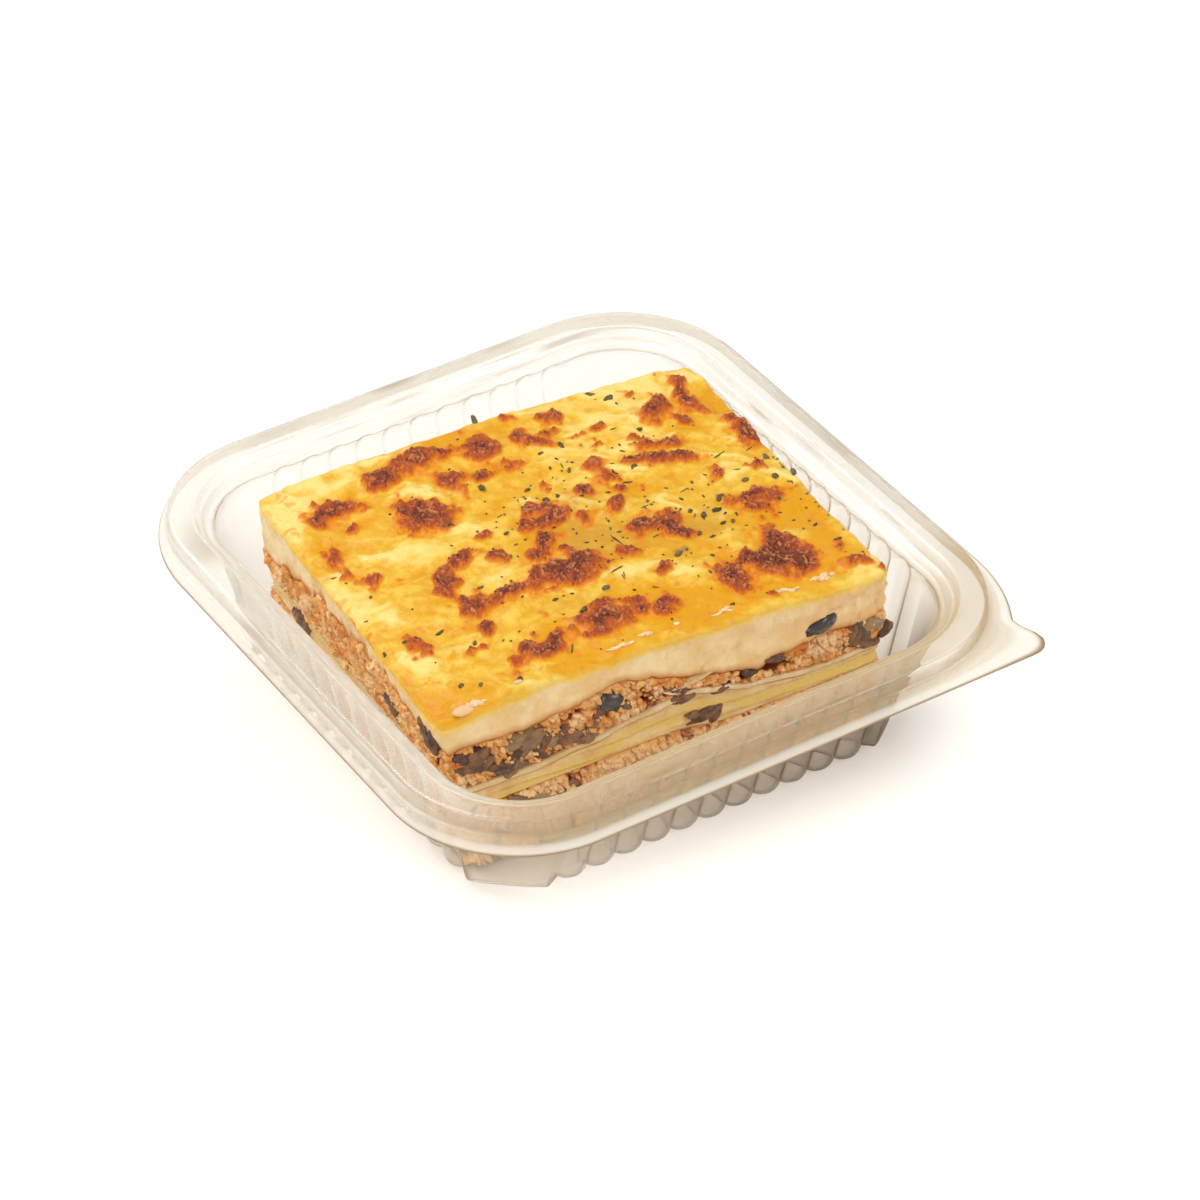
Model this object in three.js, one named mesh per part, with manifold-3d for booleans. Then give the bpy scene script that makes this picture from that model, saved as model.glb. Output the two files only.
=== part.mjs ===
// A portion of baked lasagna in its open clear tray, in millimetres, +Z up.
// The origin is the middle of the tray's flat underside. The long cut face looks to -Y.
import * as THREE from 'three';
import Module from 'manifold-3d';

const wasm = await Module();
wasm.setup();

// Clear tray. RIM is half the size of the rim over its upright outer wall.
const RIM = { x: 76.7, y: 80 };
const PLASTIC = 0.6;
const CORNER_START = { x: 45.2, y: 48.3 };
const CORNER_STEPS = 5;
const FLUTES = 11;
const FLUTE_STEPS = 3;
const FLUTE_RUN = { x: 41.8, y: 44.6 };
const FLUTE_DEPTH = { foot: 2, top: 1.2 };
const FOOT_BEVEL = 0.85;

// The tray's section from floor to flange: how far inside the rim's edge, and how high.
const SECTION = [
  { inX: 18.2, inY: 20.7, z: 0.3, flute: FLUTE_DEPTH.foot, bevel: FOOT_BEVEL },
  { inX: 16.9, inY: 19.5, z: 0.9, flute: FLUTE_DEPTH.foot, bevel: FOOT_BEVEL },
  { inX: 16.2, inY: 18.8, z: 2.6, flute: FLUTE_DEPTH.foot, bevel: FOOT_BEVEL },
  { inX: 9.9, inY: 9.9, z: 34.4, flute: FLUTE_DEPTH.top, bevel: 0 },
  { inX: 8.8, inY: 8.8, z: 36.5, flute: 0, bevel: 0 },
  { inX: 7.4, inY: 7.4, z: 37.2, flute: 0, bevel: 0 },
  { inX: 6.5, inY: 6.5, z: 38.7, flute: 0, bevel: 0 },
  { inX: 5.5, inY: 5.5, z: 39.2, flute: 0, bevel: 0 },
  { inX: 1.1, inY: 1.1, z: 39.2, flute: 0, bevel: 0 },
  { inX: 0.3, inY: 0.3, z: 38.5, flute: 0, bevel: 0 },
  { inX: 0.3, inY: 0.3, z: 35.1, flute: 0, bevel: 0 },
];

// The flange round the skirt's foot: reach of each side, corner radii, and the ear to lift it by.
const FLANGE_Z = 35.1;
const FLANGE = { right: 79.8, back: 83.1, left: 81, front: 86 };
const FLANGE_RADIUS = { backRight: 33, backLeft: 41, frontLeft: 33, frontRight: 43.8 };
const EAR = [[70.5, -86], [73.4, -85.2], [75.2, -82.6], [74.9, -79.6], [73.3, -77.6]];
const EAR_ROOT = { start: -32, y: -50 };

// Lasagna block: corners of its top and foot in order front, right, back, left.
const FLOOR_GAP = 0.3;
const FOOD_FLOOR = PLASTIC + FLOOR_GAP;
const FOOD_HEIGHT = 40;
const TOP_CORNERS = [[-60.1, -37.9], [55.1, -50.9], [63.5, 45.7], [-52.5, 56.7]];
const FOOT_CORNERS = [[-56.2, -45.6], [51, -51.5], [56, 45], [-51, 52]];
const CELLS = { along: 37, across: 29 };
const CORNER_PULL = 0.02;
const CORNER_SHARPNESS = 10;
const LAYER_GAP = 0.3;
const SHEET_TOP = LAYER_GAP + 1.6;
const ROWS = { filling: 3, sauce: 2, sheet: 1, bechamel: 3 };

// Relief of the cut sides: crumbly meat and smooth sauce, each how far out and over what distances.
const CRUMBS = { out: 0.5, swing: 1.1, around: 0.9, upwards: 2.2, speckle: 0.5 };
const CREAM = { swing: 0.4, around: 0.5, upwards: 5 };

// Heights of the layer lines round the block: side number and fraction of that side, then height.
// Side 0 is the long cut face, 1 the right end, 2 the back and 3 the left cut face.
const SAUCE_LINE = [
  [0, 15.5], [0.25, 16.5], [0.5, 17.6], [0.62, 16], [1, 17], [1.5, 16], [2, 17], [3, 15.5],
];
const SHEET_LINE = [
  [0, 19.6], [0.17, 20], [0.3, 21.8], [0.43, 24.2], [0.54, 26], [0.61, 24.5], [0.68, 22.6], [0.8, 21.2],
  [1, 21.8], [1.5, 21], [2, 22], [2.5, 20.5], [3, 21], [3.5, 20],
];
const FILLING_LINE = [
  [0, 31], [0.17, 31.4], [0.3, 33.3], [0.37, 35.4], [0.45, 34], [0.54, 31], [0.62, 28.8], [0.7, 27.4],
  [0.75, 29.6], [0.8, 30], [0.87, 33], [0.93, 31.2], [1, 31.5], [1.5, 30], [2, 29.5], [2.5, 28],
  [3, 25.5], [3.2, 30], [3.4, 35], [3.7, 35.4],
];

// Baked top: its level against the block's height, its swelling and slopes, and two sizes of soft folds.
const TOP = { level: -0.9, swell: 2.4, frontCorner: -1.8, frontRight: 1.7, easedEdge: 0.9 };
const FOLDS = [
  { height: 0.5, length: 16, width: 12, seed: 1 }, { height: 0.35, length: 7, width: 6, seed: 2 },
];

// Browned blisters on the top, as [along, across, length, width, turn in degrees] from the block's middle.
const BLOCK_MIDDLE = { x: 1.5, y: 3.4, turn: -5.4 };
const BLISTER = { height: 1.3, reach: 1.15, least: 0.75, uneven: 0.4, grain: 3, seed: 5 };
const BLISTERS = [
  [-45, 34, 15, 7, -25], [-31, 39, 8, 8, 0], [-20, 42, 13, 9, -10], [-11, 40, 9, 7, -30],
  [-6, 38, 8, 13, 0], [6, 38, 6, 8, 0], [17, 42, 8, 5, -20], [40, 34, 9, 8, 30], [50, 37, 5, 17, 5],
  [-15, 30, 8, 7, 0], [-29, 21, 16, 12, 20], [-53, 16, 5, 17, -20], [-50, 7, 7, 5, 0],
  [35, 14, 15, 7, -35], [37, 20, 16, 5, -10], [20, 22, 6, 13, -15], [56, 16, 7, 9, 0],
  [52, 3, 6, 7, 0], [-4, 6, 13, 8, 35], [13, 4, 7, 6, 0], [9, 11, 6, 4, 20], [-30, -3, 15, 5, 35],
  [-10, -5, 12, 8, 0], [17, -7, 9, 8, 0], [22, -12, 9, 9, 20], [47, -9, 15, 6, -10],
  [-25, -14, 10, 7, 0], [-36, -14, 6, 9, 20], [-9, -16, 18, 11, 0], [-50, -20, 5, 10, 10],
  [41, -26, 6, 13, 10], [38, -35, 14, 12, 0], [25, -35, 7, 13, -10], [-32, -25, 6, 7, 0],
  [-27, -37, 16, 8, 10], [-8, -34, 13, 9, 0], [7, -37, 8, 7, 30], [13, -25, 5, 6, 0],
  [52, -42, 8, 6, 0],
];

// Herb flakes and soft white cheese bits on top: [along, across, length, width, turn in degrees].
const FLAKES = [
  [-1, 50, 4.5, 1.8, 80], [29, 46, 3.4, 2, -40], [32, 42, 4, 2.2, 20], [-11, 24, 4.4, 2, 75],
  [-25, 14, 2.6, 1.8, 10], [13, 30, 3.4, 1.6, 85], [33, 28, 2, 1.8, 0], [0, 12, 2.6, 2.2, 60],
  [55, 5, 3, 2, 80], [53, -3, 3.2, 2, 70], [58, -3, 3, 1.6, 70], [46, -1, 2.8, 1.8, 0],
  [34, -9, 3.2, 2.2, 10], [30, -10, 2.6, 1.6, 80], [37, -5, 3.6, 2, 40], [26, -15, 3, 1.8, 60],
  [18, -20, 3.6, 2, 50], [-17, -3, 2.4, 1.6, 60], [-51, -18, 2.6, 1.8, 0], [-43, -19, 3, 1.4, 20],
  [-35, -44, 3, 1.6, 60], [-43, -40, 2.2, 1.4, 60], [-47, -38, 2.4, 1.6, 40], [-3, -24, 3, 2.2, 30],
  [-11, -29, 3.4, 1.8, 20], [54, -31, 2.4, 1.6, 0],
];
const FLAKE = { thickness: 0.9, fineness: 0, uneven: 0.15 };
const CHEESE_BITS = [
  [-50, -45, 7, 2.6, 5], [-8, -43, 7, 2, 0], [18, -42, 3.4, 3, 0], [43, -43, 4.6, 2.8, 0],
];
const CHEESE = { thickness: 1.8, fineness: 1, uneven: 0.15 };

// Pieces held in the cut faces: face number, distance along it from its start, height, size and tilt.
const SOCKET_GAP = 0.3;
const LUMP = { fineness: 1, uneven: 0.16, grain: 1.7 };
const PIECES = [
  { name: 'mushroom_1', face: 0, at: 6.5, z: 28.2, size: [8.5, 5.2, 6], tilt: 5 },
  { name: 'mushroom_2', face: 0, at: 12.5, z: 23.7, size: [7, 4, 5], tilt: -15 },
  { name: 'mushroom_3', face: 0, at: 20, z: 28.2, size: [10, 6, 6], tilt: 20 },
  { name: 'mushroom_4', face: 0, at: 31, z: 25.6, size: [9.5, 4.2, 6], tilt: -15 },
  { name: 'olive_1', face: 0, at: 41.5, z: 31.4, size: [6.6, 5.4, 6], tilt: -20 },
  { name: 'mushroom_5', face: 0, at: 58, z: 29.6, size: [6, 2.4, 4], tilt: 5 },
  { name: 'olive_2', face: 0, at: 96, z: 33.6, size: [8.6, 4, 6], tilt: 22 },
  { name: 'mushroom_6', face: 0, at: 105.5, z: 27, size: [6, 7, 6], tilt: 0 },
  { name: 'mushroom_7', face: 0, at: 64, z: 19.8, size: [9, 3.4, 5], tilt: 18 },
  { name: 'mushroom_8', face: 0, at: 20, z: 13.2, size: [15, 3.4, 5], tilt: -6 },
  { name: 'mushroom_9', face: 3, at: 89.5, z: 32, size: [6, 6.6, 5], tilt: 30 },
  { name: 'mushroom_10', face: 3, at: 70, z: 28.5, size: [6, 5, 5], tilt: -20 },
  { name: 'mushroom_11', face: 3, at: 20, z: 18, size: [7, 4.4, 5], tilt: 20 },
];

// Finishes, as the parts' colours in daylight.
const finish = (color, roughness, opacity = 1) =>
  new THREE.MeshStandardMaterial({ color, roughness, metalness: 0, opacity, transparent: opacity < 1 });
const FINISH = {
  plastic: finish('#eef0ec', 0.08, 0.3),
  sauce: finish('#e6cf85', 0.45),
  filling: finish('#c98f5c', 0.6),
  pasta: finish('#e8d9a8', 0.35),
  bechamel: finish('#eebb4e', 0.45),
  mushroom: finish('#6f5a49', 0.4),
  olive: finish('#3b3a3c', 0.25),
};

const HALF_TURN = Math.PI;
const radians = (degrees) => (degrees * HALF_TURN) / 180;
const mix = (a, b, t) => a + (b - a) * t;
const smooth = (t) => t * t * (3 - 2 * t);

/** A repeatable pseudo-random number from 0 to 1 for three whole numbers. */
function hash(i, j, k) {
  let h = Math.imul(i, 374761393) ^ Math.imul(j, 668265263) ^ Math.imul(k, 1274126177);
  h = Math.imul(h ^ (h >>> 13), 1103515245);
  return ((h ^ (h >>> 16)) >>> 0) / 4294967295;
}

/** Smooth noise from -1 to 1: random values at whole-number points, blended between them. */
function noise(x, y, seed) {
  const i = Math.floor(x);
  const j = Math.floor(y);
  const u = smooth(x - i);
  const v = smooth(y - j);
  const low = mix(hash(i, j, seed), hash(i + 1, j, seed), u);
  const high = mix(hash(i, j + 1, seed), hash(i + 1, j + 1, seed), u);
  return 2 * mix(low, high, v) - 1;
}

/** A closed surface gathered ring by ring: rings of points, strips between rings, and fans that end it. */
class Skin {
  constructor() {
    this.points = [];
    this.faces = [];
  }

  ring(points) {
    const first = this.points.length;
    this.points.push(...points);
    return points.map((_, k) => first + k);
  }

  angle(index) {
    return Math.atan2(this.points[index].y, this.points[index].x);
  }

  /** Joins rings of equal length point to point, and others in the order of their points' directions. */
  strip(a, b) {
    if (a.length === b.length) {
      a.forEach((p, k) => {
        const next = (k + 1) % a.length;
        this.faces.push([p, a[next], b[next]], [p, b[next], b[k]]);
      });
      return;
    }
    const unwind = (ring) => {
      const base = this.angle(a[0]);
      const turns = ring.map((p) => this.angle(p) - base);
      return turns.map((t) => (t < -1e-6 ? t + 2 * HALF_TURN : t));
    };
    const order = (ring) => {
      const turns = unwind(ring);
      const start = turns.indexOf(Math.min(...turns));
      const walk = ring.map((_, k) => (start + k) % ring.length);
      return { at: walk.map((k) => ring[k]), turn: [...walk.map((k) => turns[k]), 2 * HALF_TURN] };
    };
    const left = order(a);
    const right = order(b);
    let i = 0;
    let j = 0;
    while (i < a.length || j < b.length) {
      const p = left.at[i % a.length];
      const q = right.at[j % b.length];
      if (j >= b.length || (i < a.length && left.turn[i + 1] <= right.turn[j + 1])) {
        this.faces.push([p, left.at[(i + 1) % a.length], q]);
        i += 1;
      } else {
        this.faces.push([p, right.at[(j + 1) % b.length], q]);
        j += 1;
      }
    }
  }

  /** Closes a ring with triangles to one middle point, turned over where the ring is seen from below. */
  fan(ring, middle, below) {
    const [centre] = this.ring([middle]);
    ring.forEach((p, k) => {
      const next = ring[(k + 1) % ring.length];
      this.faces.push(below ? [p, centre, next] : [p, next, centre]);
    });
  }

  solid() {
    const vertProperties = new Float32Array(this.points.flatMap((p) => [p.x, p.y, p.z]));
    const triVerts = new Uint32Array(this.faces.flat());
    return new wasm.Manifold(new wasm.Mesh({ numProp: 3, vertProperties, triVerts }));
  }
}

/** The largest body of a solid, without loose scraps. */
function largest(solid) {
  const bodies = solid.decompose();
  return bodies.reduce((best, body) => (body.volume() > best.volume() ? body : best));
}

function mesh(name, solid, material) {
  const { vertProperties, triVerts } = solid.getMesh();
  const geometry = new THREE.BufferGeometry();
  geometry.setAttribute('position', new THREE.BufferAttribute(vertProperties, 3));
  geometry.setIndex(new THREE.BufferAttribute(triVerts, 1));
  geometry.computeVertexNormals();
  const part = new THREE.Mesh(geometry, material);
  part.name = name;
  return part;
}

/** Points of one fluted side, as [outward, along]: arcs that bulge outwards between sharp inner ridges. */
function flutedSide(reach, run, depth) {
  const count = FLUTES * FLUTE_STEPS;
  return Array.from({ length: count + 1 }, (_, k) => {
    const across = (k % FLUTE_STEPS) / FLUTE_STEPS;
    const fromCrest = 2 * across - 1;
    return [reach - depth * fromCrest * fromCrest, mix(-run, run, k / count)];
  });
}

/** One level ring of the tray: four sides, fluted or plain, and corners from quarter round to bevel. */
function trayRing({ x, y, z, flute, bevel }) {
  const points = [];
  for (let side = 0; side < 4; side += 1) {
    const facesX = side % 2 === 0;
    const [reach, next] = facesX ? [x, y] : [y, x];
    const start = [CORNER_START.x, CORNER_START.y];
    const [outStart, alongStart] = facesX ? start : start.reverse();
    const run = facesX ? FLUTE_RUN.y : FLUTE_RUN.x;
    const local = flute > 0 ? flutedSide(reach, run, flute) : [];
    for (let step = 0; step <= CORNER_STEPS; step += 1) {
      const f = step / CORNER_STEPS;
      const turn = (f * HALF_TURN) / 2;
      const out = mix(Math.cos(turn), 1 - f, bevel);
      const along = mix(Math.sin(turn), f, bevel);
      local.push([outStart + (reach - outStart) * out, alongStart + (next - alongStart) * along]);
    }
    const [c, s] = [[1, 0], [0, 1], [-1, 0], [0, -1]][side];
    local.forEach(([out, along]) => {
      points.push(new THREE.Vector3(out * c - along * s, out * s + along * c, z));
    });
  }
  return points;
}

/** The flange's outline: round corners of their own radii, and the ear at the front right. */
function flangeOutline(z) {
  const arc = (cx, cy, radius, from, to) =>
    Array.from({ length: CORNER_STEPS + 1 }, (_, k) => {
      const turn = radians(mix(from, to, k / CORNER_STEPS));
      return new THREE.Vector3(cx + radius * Math.cos(turn), cy + radius * Math.sin(turn), z);
    });
  const { right, back, left, front } = FLANGE;
  const { backRight, backLeft, frontLeft, frontRight } = FLANGE_RADIUS;
  return [
    ...arc(right - backRight, back - backRight, backRight, 0, 90),
    ...arc(-left + backLeft, back - backLeft, backLeft, 90, 180),
    ...arc(-left + frontLeft, -front + frontLeft, frontLeft, 180, 270),
    ...EAR.map(([x, y]) => new THREE.Vector3(x, y, z)),
    ...arc(right - frontRight, EAR_ROOT.y, frontRight, EAR_ROOT.start, 0),
  ];
}

/** The thin tray: its section's middle line moved half the thickness to either side, then swept. */
function makeTray() {
  const faces = [1, -1].map((sign) =>
    SECTION.map((station, k) => {
      const before = SECTION[Math.max(k - 1, 0)];
      const after = SECTION[Math.min(k + 1, SECTION.length - 1)];
      const unit = (p, q) => new THREE.Vector2(p.inX - q.inX, q.z - p.z).normalize();
      const arrive = k > 0 ? unit(before, station) : new THREE.Vector2(1, 0);
      const leave = k < SECTION.length - 1 ? unit(station, after) : new THREE.Vector2(1, 0);
      const along = arrive.clone().add(leave).normalize();
      const shift = (sign * PLASTIC) / 2 / Math.max(along.dot(arrive), 0.6);
      const { inX, inY, z, flute, bevel } = station;
      const [x, y] = [RIM.x - inX - along.y * shift, RIM.y - inY - along.y * shift];
      return trayRing({ x, y, z: z + along.x * shift, flute, bevel });
    }));
  const skin = new Skin();
  const inside = faces[0].map((points) => skin.ring(points));
  const outside = faces[1].map((points) => skin.ring(points));
  const edge = [1, -1].map((sign) => skin.ring(flangeOutline(FLANGE_Z + (sign * PLASTIC) / 2)));
  skin.fan(inside[0], new THREE.Vector3(0, 0, faces[0][0][0].z), false);
  [...inside, ...edge].reduce((a, b) => {
    skin.strip(b, a);
    return b;
  });
  skin.strip(outside.at(-1), edge[1]);
  outside.reverse().reduce((a, b) => {
    skin.strip(b, a);
    return b;
  });
  skin.fan(outside.at(-1), new THREE.Vector3(0, 0, faces[1][0][0].z), true);
  return skin.solid();
}

/** A place in the block: u along the long cut face, v back from it, from 0 to 1; corners are eased. */
function plan(u, v, z) {
  const h = (z - FOOD_FLOOR) / FOOD_HEIGHT;
  const corner = (k, axis) => mix(FOOT_CORNERS[k][axis], TOP_CORNERS[k][axis], h);
  const at = (axis) =>
    mix(mix(corner(0, axis), corner(1, axis), u), mix(corner(3, axis), corner(2, axis), u), v);
  const middle = (axis) => (corner(0, axis) + corner(1, axis) + corner(2, axis) + corner(3, axis)) / 4;
  const reach = Math.abs(2 * u - 1) * Math.abs(2 * v - 1);
  const pull = 1 - CORNER_PULL * reach ** CORNER_SHARPNESS;
  return new THREE.Vector3(mix(middle(0), at(0), pull), mix(middle(1), at(1), pull), z);
}

/** The block's outline as grid steps [i, j] in order round the four sides. */
function outlineSteps() {
  const { along, across } = CELLS;
  const steps = [];
  for (let i = 0; i < along; i += 1) steps.push([i, 0]);
  for (let j = 0; j < across; j += 1) steps.push([along, j]);
  for (let i = along; i > 0; i -= 1) steps.push([i, across]);
  for (let j = across; j > 0; j -= 1) steps.push([0, j]);
  return steps;
}
const OUTLINE = outlineSteps();

/** How far round the block a grid step lies, as the side's number plus the fraction of that side. */
function roundPosition([i, j]) {
  const { along, across } = CELLS;
  if (j === 0 && i < along) return i / along;
  if (i === along && j < across) return 1 + j / across;
  if (j === across && i > 0) return 3 - i / along;
  return 4 - j / across;
}

/** The height of a layer line at a place round the block, blended between its stated heights. */
function lineHeight(line, position) {
  const keys = [...line, [line[0][0] + 4, line[0][1]]];
  const k = keys.findIndex(([at]) => at > position) - 1;
  const [[from, low], [to, high]] = [keys[k], keys[k + 1]];
  return mix(low, high, smooth((position - from) / (to - from)));
}

/** A ring of the block: a height for each place round it, and how far the side stands out there. */
function blockRing(height, relief) {
  const heights = OUTLINE.map((step) => height(roundPosition(step)));
  const base = OUTLINE.map(([i, j], k) => plan(i / CELLS.along, j / CELLS.across, heights[k]));
  return base.map((p, k) => {
    const before = base[(k + base.length - 1) % base.length];
    const after = base[(k + 1) % base.length];
    const outward = new THREE.Vector3(after.y - before.y, before.x - after.x, 0).normalize();
    return p.clone().addScaledVector(outward, relief(k, p.z));
  });
}

/** The middle of a level cut through the block, at the mean height of a ring. */
function ringMiddle(points) {
  const sum = points.reduce((total, p) => total.add(p), new THREE.Vector3());
  return sum.divideScalar(points.length);
}

/** A layer between two lines: level ends, and rows of crumbly or smooth relief up its sides. */
function makeLayer(lowLine, highLine, rows, relief) {
  const skin = new Skin();
  const rings = [];
  for (let row = 0; row <= rows; row += 1) {
    const t = row / rows;
    const isEnd = row === 0 || row === rows;
    const height = (position) => mix(lowLine(position), highLine(position), t);
    rings.push(skin.ring(blockRing(height, isEnd ? () => 0 : (k, z) => relief(k, z))));
  }
  skin.fan(rings[0], ringMiddle(rings[0].map((p) => skin.points[p])), true);
  rings.reduce((a, b) => {
    skin.strip(a, b);
    return b;
  });
  skin.fan(rings.at(-1), ringMiddle(rings.at(-1).map((p) => skin.points[p])), false);
  return skin.solid();
}

/** Turns a place on the top, measured from the block's middle, into the tray's frame. */
function onTop(along, across) {
  const turn = radians(BLOCK_MIDDLE.turn);
  const x = BLOCK_MIDDLE.x + along * Math.cos(turn) - across * Math.sin(turn);
  const y = BLOCK_MIDDLE.y + along * Math.sin(turn) + across * Math.cos(turn);
  return [x, y];
}

/** The browned blisters: each a dome over an ellipse, roughened, the highest one counting. */
function blisterHeight(x, y) {
  const rough = BLISTER.least + BLISTER.uneven * noise(x / BLISTER.grain, y / BLISTER.grain, BLISTER.seed);
  return BLISTERS.reduce((height, [along, across, length, width, turn]) => {
    const [cx, cy] = onTop(along, across);
    const angle = radians(turn + BLOCK_MIDDLE.turn);
    const p = ((x - cx) * Math.cos(angle) + (y - cy) * Math.sin(angle)) / (length / 2);
    const q = ((y - cy) * Math.cos(angle) - (x - cx) * Math.sin(angle)) / (width / 2);
    const dome = Math.max(0, BLISTER.reach - p * p - q * q);
    return Math.max(height, BLISTER.height * Math.sqrt(dome) * rough);
  }, 0);
}

/** Height of the baked top: low at the front corner, swollen in the middle, with folds and blisters. */
function topHeight(u, v) {
  const swell = TOP.swell * Math.sin(HALF_TURN * u) ** 0.8;
  const slope = TOP.frontCorner * ((1 - u) * (1 - v)) ** 6 + TOP.frontRight * u * (1 - v) ** 2;
  const { x, y } = plan(u, v, FOOD_HEIGHT);
  const folds = FOLDS.map(({ height, length, width, seed }) => height * noise(x / length, y / width, seed));
  const { along, across } = CELLS;
  const cellsIn = Math.min(u * along, (1 - u) * along, v * across, (1 - v) * across, 1);
  const eased = TOP.easedEdge * (1 - cellsIn) ** 2;
  const smoothTop = FOOD_FLOOR + FOOD_HEIGHT + TOP.level + swell + slope - eased;
  return smoothTop + folds[0] + folds[1] + blisterHeight(x, y);
}

/** The top layer of set white sauce: wavy underneath, smooth cut sides, the baked crust on top. */
function makeBechamel(lowLine, relief) {
  const { along, across } = CELLS;
  const skin = new Skin();
  const low = skin.ring(blockRing(lowLine, () => 0));
  skin.fan(low, ringMiddle(low.map((p) => skin.points[p])), true);
  const place = (i, j) => {
    const [u, v] = [i / along, j / across];
    return plan(u, v, topHeight(u, v));
  };
  const grid = [];
  for (let j = 0; j <= across; j += 1) {
    grid.push(skin.ring(Array.from({ length: along + 1 }, (_, i) => place(i, j))));
  }
  const edge = OUTLINE.map(([i, j]) => grid[j][i]);
  const edgeHeight = OUTLINE.map((step, k) => [roundPosition(step), skin.points[edge[k]].z]);
  const rings = [low];
  for (let row = 1; row < ROWS.bechamel; row += 1) {
    const height = (position) => {
      const top = edgeHeight.find(([at]) => at === position)[1];
      return mix(lowLine(position), top, row / ROWS.bechamel);
    };
    rings.push(skin.ring(blockRing(height, relief)));
  }
  rings.push(edge);
  rings.reduce((a, b) => {
    skin.strip(a, b);
    return b;
  });
  for (let j = 0; j < across; j += 1) {
    for (let i = 0; i < along; i += 1) {
      const [a, b, c, d] = [grid[j][i], grid[j][i + 1], grid[j + 1][i + 1], grid[j + 1][i]];
      skin.faces.push([a, b, c], [a, c, d]);
    }
  }
  return skin.solid();
}

/** An uneven lump: a faceted ball stretched to its size, its surface moved in and out by noise. */
function makeLump(size, grow, { fineness, uneven }, seed) {
  const ball = new THREE.IcosahedronGeometry(1, fineness);
  const place = ball.getAttribute('position');
  const [a, b, c] = size.map((length) => length / 2 + grow);
  const skin = new Skin();
  const seen = new Map();
  const corner = (k) => {
    const p = new THREE.Vector3().fromBufferAttribute(place, k);
    const key = p.toArray().map((value) => value.toFixed(4)).join();
    if (!seen.has(key)) {
      const swell = 1 + uneven * noise(p.x * LUMP.grain + p.z, p.y * LUMP.grain + p.z, seed);
      const [index] = skin.ring([new THREE.Vector3(p.x * a, p.y * b, p.z * c).multiplyScalar(swell)]);
      seen.set(key, index);
    }
    return seen.get(key);
  };
  for (let k = 0; k < place.count; k += 3) {
    skin.faces.push([corner(k), corner(k + 1), corner(k + 2)]);
  }
  return skin.solid();
}

/** Where a piece sits in a cut face: its own axes run along the face, up it and out of it. */
function pieceMatrix({ face, at, z, tilt }) {
  const corners = [[0, 1], [1, 2], [2, 3], [3, 0]][face];
  const h = (z - FOOD_FLOOR) / FOOD_HEIGHT;
  const [from, to] = corners.map((k) => {
    const [foot, top] = [FOOT_CORNERS[k], TOP_CORNERS[k]];
    return new THREE.Vector3(mix(foot[0], top[0], h), mix(foot[1], top[1], h), z);
  });
  const along = to.clone().sub(from).normalize();
  const up = new THREE.Vector3(0, 0, 1);
  const out = along.clone().cross(up);
  const matrix = new THREE.Matrix4().makeBasis(along, up, out);
  matrix.multiply(new THREE.Matrix4().makeRotationZ(radians(tilt)));
  return matrix.setPosition(from.addScaledVector(along, at));
}

/** A flake or soft bit lying on the top, half sunk in. */
function makeTopping([along, across, length, width, turn], kind, seed) {
  const [x, y] = onTop(along, across);
  const matrix = new THREE.Matrix4().makeRotationZ(radians(turn + BLOCK_MIDDLE.turn));
  matrix.setPosition(x, y, nearestTop(x, y));
  return makeLump([length, width, kind.thickness], 0, kind, seed).transform(matrix.toArray());
}

/** The height of the baked top over a place, found by Newton steps in the block's own directions. */
function nearestTop(x, y) {
  const steps = 6;
  const reach = 0.01;
  const inside = (value) => Math.min(Math.max(value, reach), 1 - reach);
  let [u, v] = [0.5, 0.5];
  for (let step = 0; step < steps; step += 1) {
    const here = plan(u, v, FOOD_HEIGHT);
    const right = plan(u + reach, v, FOOD_HEIGHT).sub(here).divideScalar(reach);
    const back = plan(u, v + reach, FOOD_HEIGHT).sub(here).divideScalar(reach);
    const det = right.x * back.y - right.y * back.x;
    const [dx, dy] = [x - here.x, y - here.y];
    u = inside(u + (dx * back.y - dy * back.x) / det);
    v = inside(v + (dy * right.x - dx * right.y) / det);
  }
  return topHeight(u, v);
}

/** How far crumbly meat stands out of a cut side at its k-th column: soft lumps and single crumbs. */
function crumbs(k, z) {
  const lumps = CRUMBS.swing * noise(k * CRUMBS.around, z / CRUMBS.upwards, 11);
  return CRUMBS.out + lumps + CRUMBS.speckle * hash(k, Math.round(z), 12);
}

const creamy = (k, z) => CREAM.swing * noise(k * CREAM.around, z / CREAM.upwards, 21);
const line = (keys, lift = 0) => (position) => lineHeight(keys, position) + lift;
const floorLine = () => FOOD_FLOOR;

const layers = {
  lower_filling: {
    solid: makeLayer(floorLine, line(SAUCE_LINE), ROWS.filling, crumbs),
    material: FINISH.filling,
  },
  lower_sauce: {
    solid: makeLayer(line(SAUCE_LINE, LAYER_GAP), line(SHEET_LINE), ROWS.sauce, creamy),
    material: FINISH.sauce,
  },
  pasta_sheet: {
    solid: makeLayer(line(SHEET_LINE, LAYER_GAP), line(SHEET_LINE, SHEET_TOP), ROWS.sheet, creamy),
    material: FINISH.pasta,
  },
  upper_filling: {
    solid: makeLayer(line(SHEET_LINE, SHEET_TOP + LAYER_GAP), line(FILLING_LINE), ROWS.filling, crumbs),
    material: FINISH.filling,
  },
  bechamel: { solid: makeBechamel(line(FILLING_LINE, LAYER_GAP), creamy), material: FINISH.bechamel },
};

const group = new THREE.Group();
group.add(mesh('tray', makeTray(), FINISH.plastic));

const pieces = PIECES.map((piece, seed) => {
  const matrix = pieceMatrix(piece).toArray();
  const lump = (grow) => makeLump(piece.size, grow, LUMP, seed).transform(matrix);
  return { name: piece.name, solid: lump(0), socket: lump(SOCKET_GAP) };
});

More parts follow.
